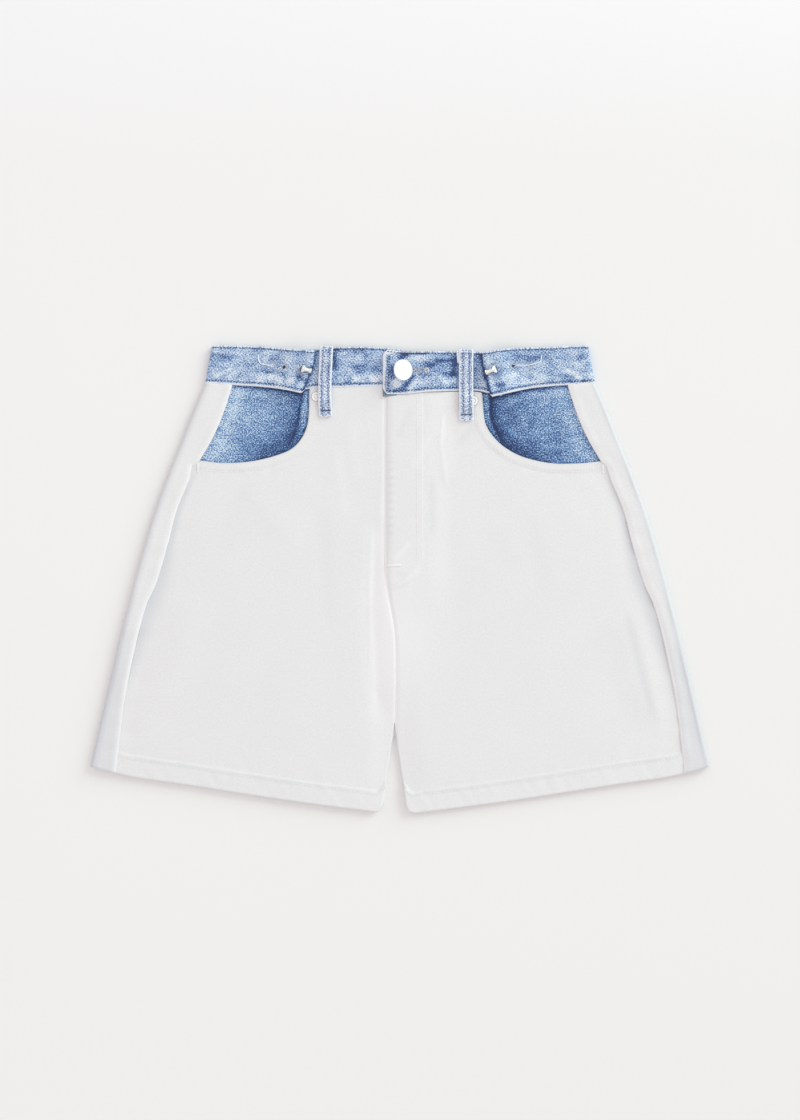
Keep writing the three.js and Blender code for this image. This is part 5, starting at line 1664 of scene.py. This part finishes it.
def sew_front(side):
    """Rows at the pocket mouth and the hem, the fly's J and the bar tacks."""
    name = SIDE_NAME[side]
    piece, mouth = fronts[side]
    tree = landing(piece)
    parts = []

    below_band = float(band_edge_at(f"{name}_centre", mouth[0][0], 1)) - 2
    for inset in MOUTH_STITCH:
        line = offset_line(mouth, -side * inset)
        keep = (line[:, 1] < below_band) & (np.abs(line[:, 0]) < seam_at(line[:, 1]) - 2)
        parts += row_of(tree, evenly(line[keep], 160), **MOUTH_THREAD)
    hem_x = np.linspace(CROTCH_X + side * 9, side * 262, 160)
    hem = np.stack([hem_x, hem_at(hem_x) + HEM_WIDTH - HEM_STITCH_IN], axis=1)
    hem = hem[np.abs(hem[:, 0] - CROTCH_X) > leg_spread_at(hem[:, 1]) + 1.5]
    parts += row_of(tree, evenly(hem, 220), **HEM_THREAD)
    if side > 0:
        j = FLY_STITCH
        for inset in (0.0, FLY_STITCH_APART):
            fall = (j["low"] - j["foot"] - inset) * np.sin(np.linspace(0, 0.5, 40)[1:] * math.pi)
            run_y = np.concatenate([np.linspace(172, j["low"], 60), j["low"] - fall])
            line = np.stack([fly_stitch_x(run_y, inset), run_y], axis=1)
            parts += row_of(tree, evenly(line[line[:, 0] > -9.5], 200), **FLY_THREAD)
        parts += bar_tack(tree, **FLY_TACK)
    corner_x, corner_y = mouth[-1]
    tack_x = corner_x + side * CORNER_TACK["out"]
    parts += bar_tack(tree, tack_x, corner_y - CORNER_TACK["from"], tack_x, corner_y - CORNER_TACK["to"],
                      2.0, 20, 0.26)
    return sewn(f"front_{name}_sewing", parts, "ecru_thread", f"front_panel_{name}")


BAND_ROWS = {"top": (0.9, 0.0), "foot": (33.7, 1.2)}


def sew_band():
    """Rows along the band's top and foot where they show, and across the tab's end."""
    tree = landing(band)
    parts = []
    for down_by, slant in BAND_ROWS.values():
        i = int(np.argmin(np.abs(band_rows - down_by / BAND_HEIGHT)))
        row = band_outer[i]
        starts = np.flatnonzero(np.diff(np.concatenate([[0], band_front[i].astype(int), [0]])))
        for a, b in zip(starts[::2], starts[1::2]):
            line = row[a:b]
            kept = [p for p in line if abs(dropped(tree, [p[:2]])[0][2] - p[2]) < 0.8]
            if len(kept) > 6:
                parts += stitches(np.array(kept), BAND_STITCH, 0.62, 0.48, 0.12, slant)
    for inset, share in ((4.6, 0.7), (5.6, 0.55)):
        y = np.linspace(209.5, 177.5, 40)
        end = np.stack([TAB_END + inset + 0.02 * (y - 193), y], axis=1)
        parts += row_of(tree, end, 2.4, share, 0.36, 0.1)
    return sewn("waistband_sewing", parts, "navy_thread", "waistband")


TAILS = [
    [(-133.2, 210.2), (-132.4, 204.4), (-130.0, 201.6), (-124.6, 200.6), (-119.0, 198.6)],
    [(132.8, 209.8), (131.4, 203.8), (124.0, 201.2), (116.0, 199.8), (109.0, 199.4)],
]
HOLE_SIDE = {"pitch": 1.0, "length": 2.4, "radius": 0.32, "stray": 0.3}
HOLE_END = {"pitch": 0.9, "length": 1.8, "radius": 0.32, "stray": 0.25}
STUD_RING = {"pitch": 1.3, "length": 1.5, "radius": 0.26, "stray": 0.2}
LONG_RING = {"pitch": 1.25, "length": 1.5, "radius": 0.24, "stray": 0.2}
EYELET_RING = {"pitch": 1.1, "length": 1.0, "radius": 0.24, "stray": 0.1}


def sew_holes():
    """Embroidered buttonholes: the button's, one round each stud and an empty one beyond it; dark thread in
    the eyelets' slits is painted shade.
    """
    tree = landing(band)
    bx, by = BUTTON["x"], BUTTON["y"]
    parts, pale, slit_shades = [], [], []
    for way in (-1, 1):
        hole_side = np.array([(bx + 8.6, by + way * 1.5 + 0.6), (bx + 23.0, by + way * 1.2)])
        parts += satin(tree, hole_side, **HOLE_SIDE)
    pale += satin(tree, ring(bx + 22.3, by + 0.2, 1.7, 2.0), **HOLE_END)
    for side in (-1, 1):
        fx, fy = STUDS[side]["flange"]
        ex, ey = EYELETS[side]
        long_ring = ring(ex + side * 8.0, ey - side * 0.4, 11.0, 4.4, -side * 0.05, 80)
        parts += satin(tree, ring(fx + side * 0.2, fy, 6.6, 6.2), **STUD_RING)
        parts += satin(tree, long_ring, **LONG_RING)
        pale += satin(tree, ring(ex, ey, 1.9, 2.2), **EYELET_RING)
    ex, ey = EYELETS[-1]
    # Dark thread laid as painted shade in the eyelets' slits.
    slit_shades += row_of(tree, [(ex - 0.6, ey - 1.2), (ex + 0.6, ey + 1.4)], 3.0, 0.9, 0.7, 0.3)
    ex, ey = EYELETS[1]
    slit_shades += row_of(tree, [(ex - 1.0, ey + 1.2), (ex + 2.4, ey + 0.8)], 1.6, 0.7, 0.6, 0.3)
    for points in TAILS:
        pale += loose(tree, points)
    return [sewn("waistband_holes", parts, "beige_thread", "waistband"),
            sewn("waistband_tails", pale, "ivory_thread", "waistband"),
            sewn("waistband_slit_shade", slit_shades, "slit_shade_thread", "waistband")]


FIBRE_RADII = np.array([0.13, 0.11, 0.05])


def fuzz():
    """Short fibres along the band's top edge and the tab's worn end."""
    spread = np.random.RandomState(17)
    parts = []
    top = band_outer[0]
    shown = np.flatnonzero(band_front[0])
    for i in shown[::2]:
        x, y, z = top[i] + [spread.uniform(-1, 1), 0, 0]
        lean, tall = spread.uniform(-0.9, 0.9), spread.uniform(0.5, 1.5)
        line = np.array([(x, y - 0.3, z - 0.5), (x + lean * 0.4, y + tall * 0.5, z - 0.6),
                         (x + lean, y + tall, z - 0.9)])
        parts.append(tube(line, FIBRE_RADII, 4))
    for y in np.arange(179.0, 210.0, 0.7):
        lean, tall = spread.uniform(-0.7, 0.7), spread.uniform(0.4, 1.1)
        line = np.array([(TAB_END + 0.4, y, 7.6), (TAB_END - tall * 0.5, y + lean * 0.4, 7.4),
                         (TAB_END - tall, y + lean, 6.9)])
        parts.append(tube(line, FIBRE_RADII, 4))
    return sewn("waistband_fibres", parts, "ivory_thread", "waistband")


def sew_loop(side):
    """Two rows down a loop, and the bar tacks at its ends."""
    name = SIDE_NAME[side]
    loop = LOOPS[side]
    tree = landing(loops[side])
    parts = []
    for k in (-1, 1):
        y = np.linspace(loop["top_y"] - 2, loop["foot_y"] + 7, 80)
        x = loop_x(loop, y) + k * LOOP_ROWS
        parts += row_of(tree, pair(x, y), 2.3, 0.6, 0.36, 0.08)
    rows = sewn(f"loop_{name}_sewing", parts, "grey_thread", f"belt_loop_{name}")
    half = loop["width"] / 2 - 0.9
    tack_y = loop["foot_y"] + 5.3
    foot_x, top_x = loop["foot_x"], loop["top_x"]
    tack = bar_tack(tree, foot_x - half, tack_y, foot_x + half, tack_y + 0.4, 1.3, 12, 0.3)
    if side > 0:
        top_y = loop["top_y"] - 3.6
        tack += bar_tack(tree, top_x - half, top_y, top_x + half, top_y, 1.0, 11, 0.26)
    return [rows, sewn(f"loop_{name}_tack", tack, "navy_thread", f"belt_loop_{name}")]


# Each cloth piece's weave, read back from its mesh
def lay(piece, rests_on, with_pieces, length=None):
    """Reads back a cloth piece's weave."""
    weave = np.empty(len(piece.data.vertices) * 3)
    piece.data.attributes["weave"].data.foreach_get("vector", weave)
    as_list(rests_on)
    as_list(with_pieces)


loop_threads = {side: sew_loop(side) for side in (-1, 1)}
for side in (-1, 1):
    lay(backs[side], ["floor"], [])
    lay(facings[side], [backs[side]], [])
    lay(fronts[side][0], [facings[side], backs[side]], [sew_front(side)])
    lay(loops[side], [band, fronts[side][0]], loop_threads[side] + ([flap] if side > 0 else []))
lay(band, ["floor", backs[-1], backs[1]], [sew_band(), *sew_holes(), fuzz(), lining], BAND_HEIGHT * MM)


# Floor, light and camera
FLOOR = 3.0
FLOOR_DROP = 0.0002
FAR_LIGHT_FROM, FAR_LIGHT_GAIN = 0.4, 7.0
RIGHT_SHADE_FROM, RIGHT_SHADE_GAIN = -0.3, 1.2
PAPER, PAPER_PALE = (0.884, 0.886, 0.884), (0.892, 0.892, 0.889)
PAPER_RIGHT_SHADE, PAPER_FAR_LIGHT = (0.862, 0.857, 0.852), (0.915, 0.914, 0.932)
WORLD_TINT, WORLD_STRENGTH = (1, 0.950, 0.948), 0.867
CAMERA_PLACE = (0, 0.0176, 2.486)


def floor():
    """Pale paper, with painted shade to the right, where it is darker and a little warmer, and painted light
    at its far end, where it is paler and cooler.
    """
    bpy.ops.mesh.primitive_grid_add(x_subdivisions=8, y_subdivisions=8, size=FLOOR,
                                    location=(0, 0, -FLOOR_DROP))
    made = bpy.context.object
    made.name = "floor"
    g = Graph("paper", 0.95)
    own = g.node("ShaderNodeTexCoord").outputs["Object"]
    tone = g.mixed(g.noise(own, 260, 2), opaque(PAPER), opaque(PAPER_PALE))
    place = g.node("ShaderNodeSeparateXYZ", {0: own})
    # Painted shade: darker and warmer to the right.
    side = g.times(g.minus(place.outputs[0], RIGHT_SHADE_FROM), RIGHT_SHADE_GAIN, clamp=True)
    tone = g.mixed(side, tone, opaque(PAPER_RIGHT_SHADE))
    # Painted light: paler and cooler at the far end.
    far = g.times(g.minus(place.outputs[1], FAR_LIGHT_FROM), FAR_LIGHT_GAIN, clamp=True)
    made.data.materials.append(g.colour(g.mixed(far, tone, opaque(PAPER_FAR_LIGHT))))


def area_light(name, place, size, power, tint):
    """Round soft light that faces the middle of the object."""
    data = bpy.data.lights.new(name, "AREA")
    data.shape = "DISK"
    data.size = size
    data.energy = power
    data.color = tint
    lamp = bpy.data.objects.new(name, data)
    lamp.location = place
    lamp.rotation_euler = (-Vector(place)).to_track_quat("-Z", "Y").to_euler()
    bpy.context.collection.objects.link(lamp)


floor()
area_light("key", (4.6, 3.7, 2.3), 3.6, 205.0, (0.80, 1.0, 0.96))

world = bpy.data.worlds.new("studio")
world.use_nodes = True
background = world.node_tree.nodes["Background"]
background.inputs["Color"].default_value = opaque(WORLD_TINT)
background.inputs["Strength"].default_value = WORLD_STRENGTH
bpy.context.scene.world = world
bpy.context.scene.view_settings.view_transform = "Standard"

camera_data = bpy.data.cameras.new("photo")
camera_data.lens = 85
camera_data.sensor_width = 36
camera = bpy.data.objects.new("photo", camera_data)
camera.location = CAMERA_PLACE
bpy.context.collection.objects.link(camera)
bpy.context.scene.camera = camera
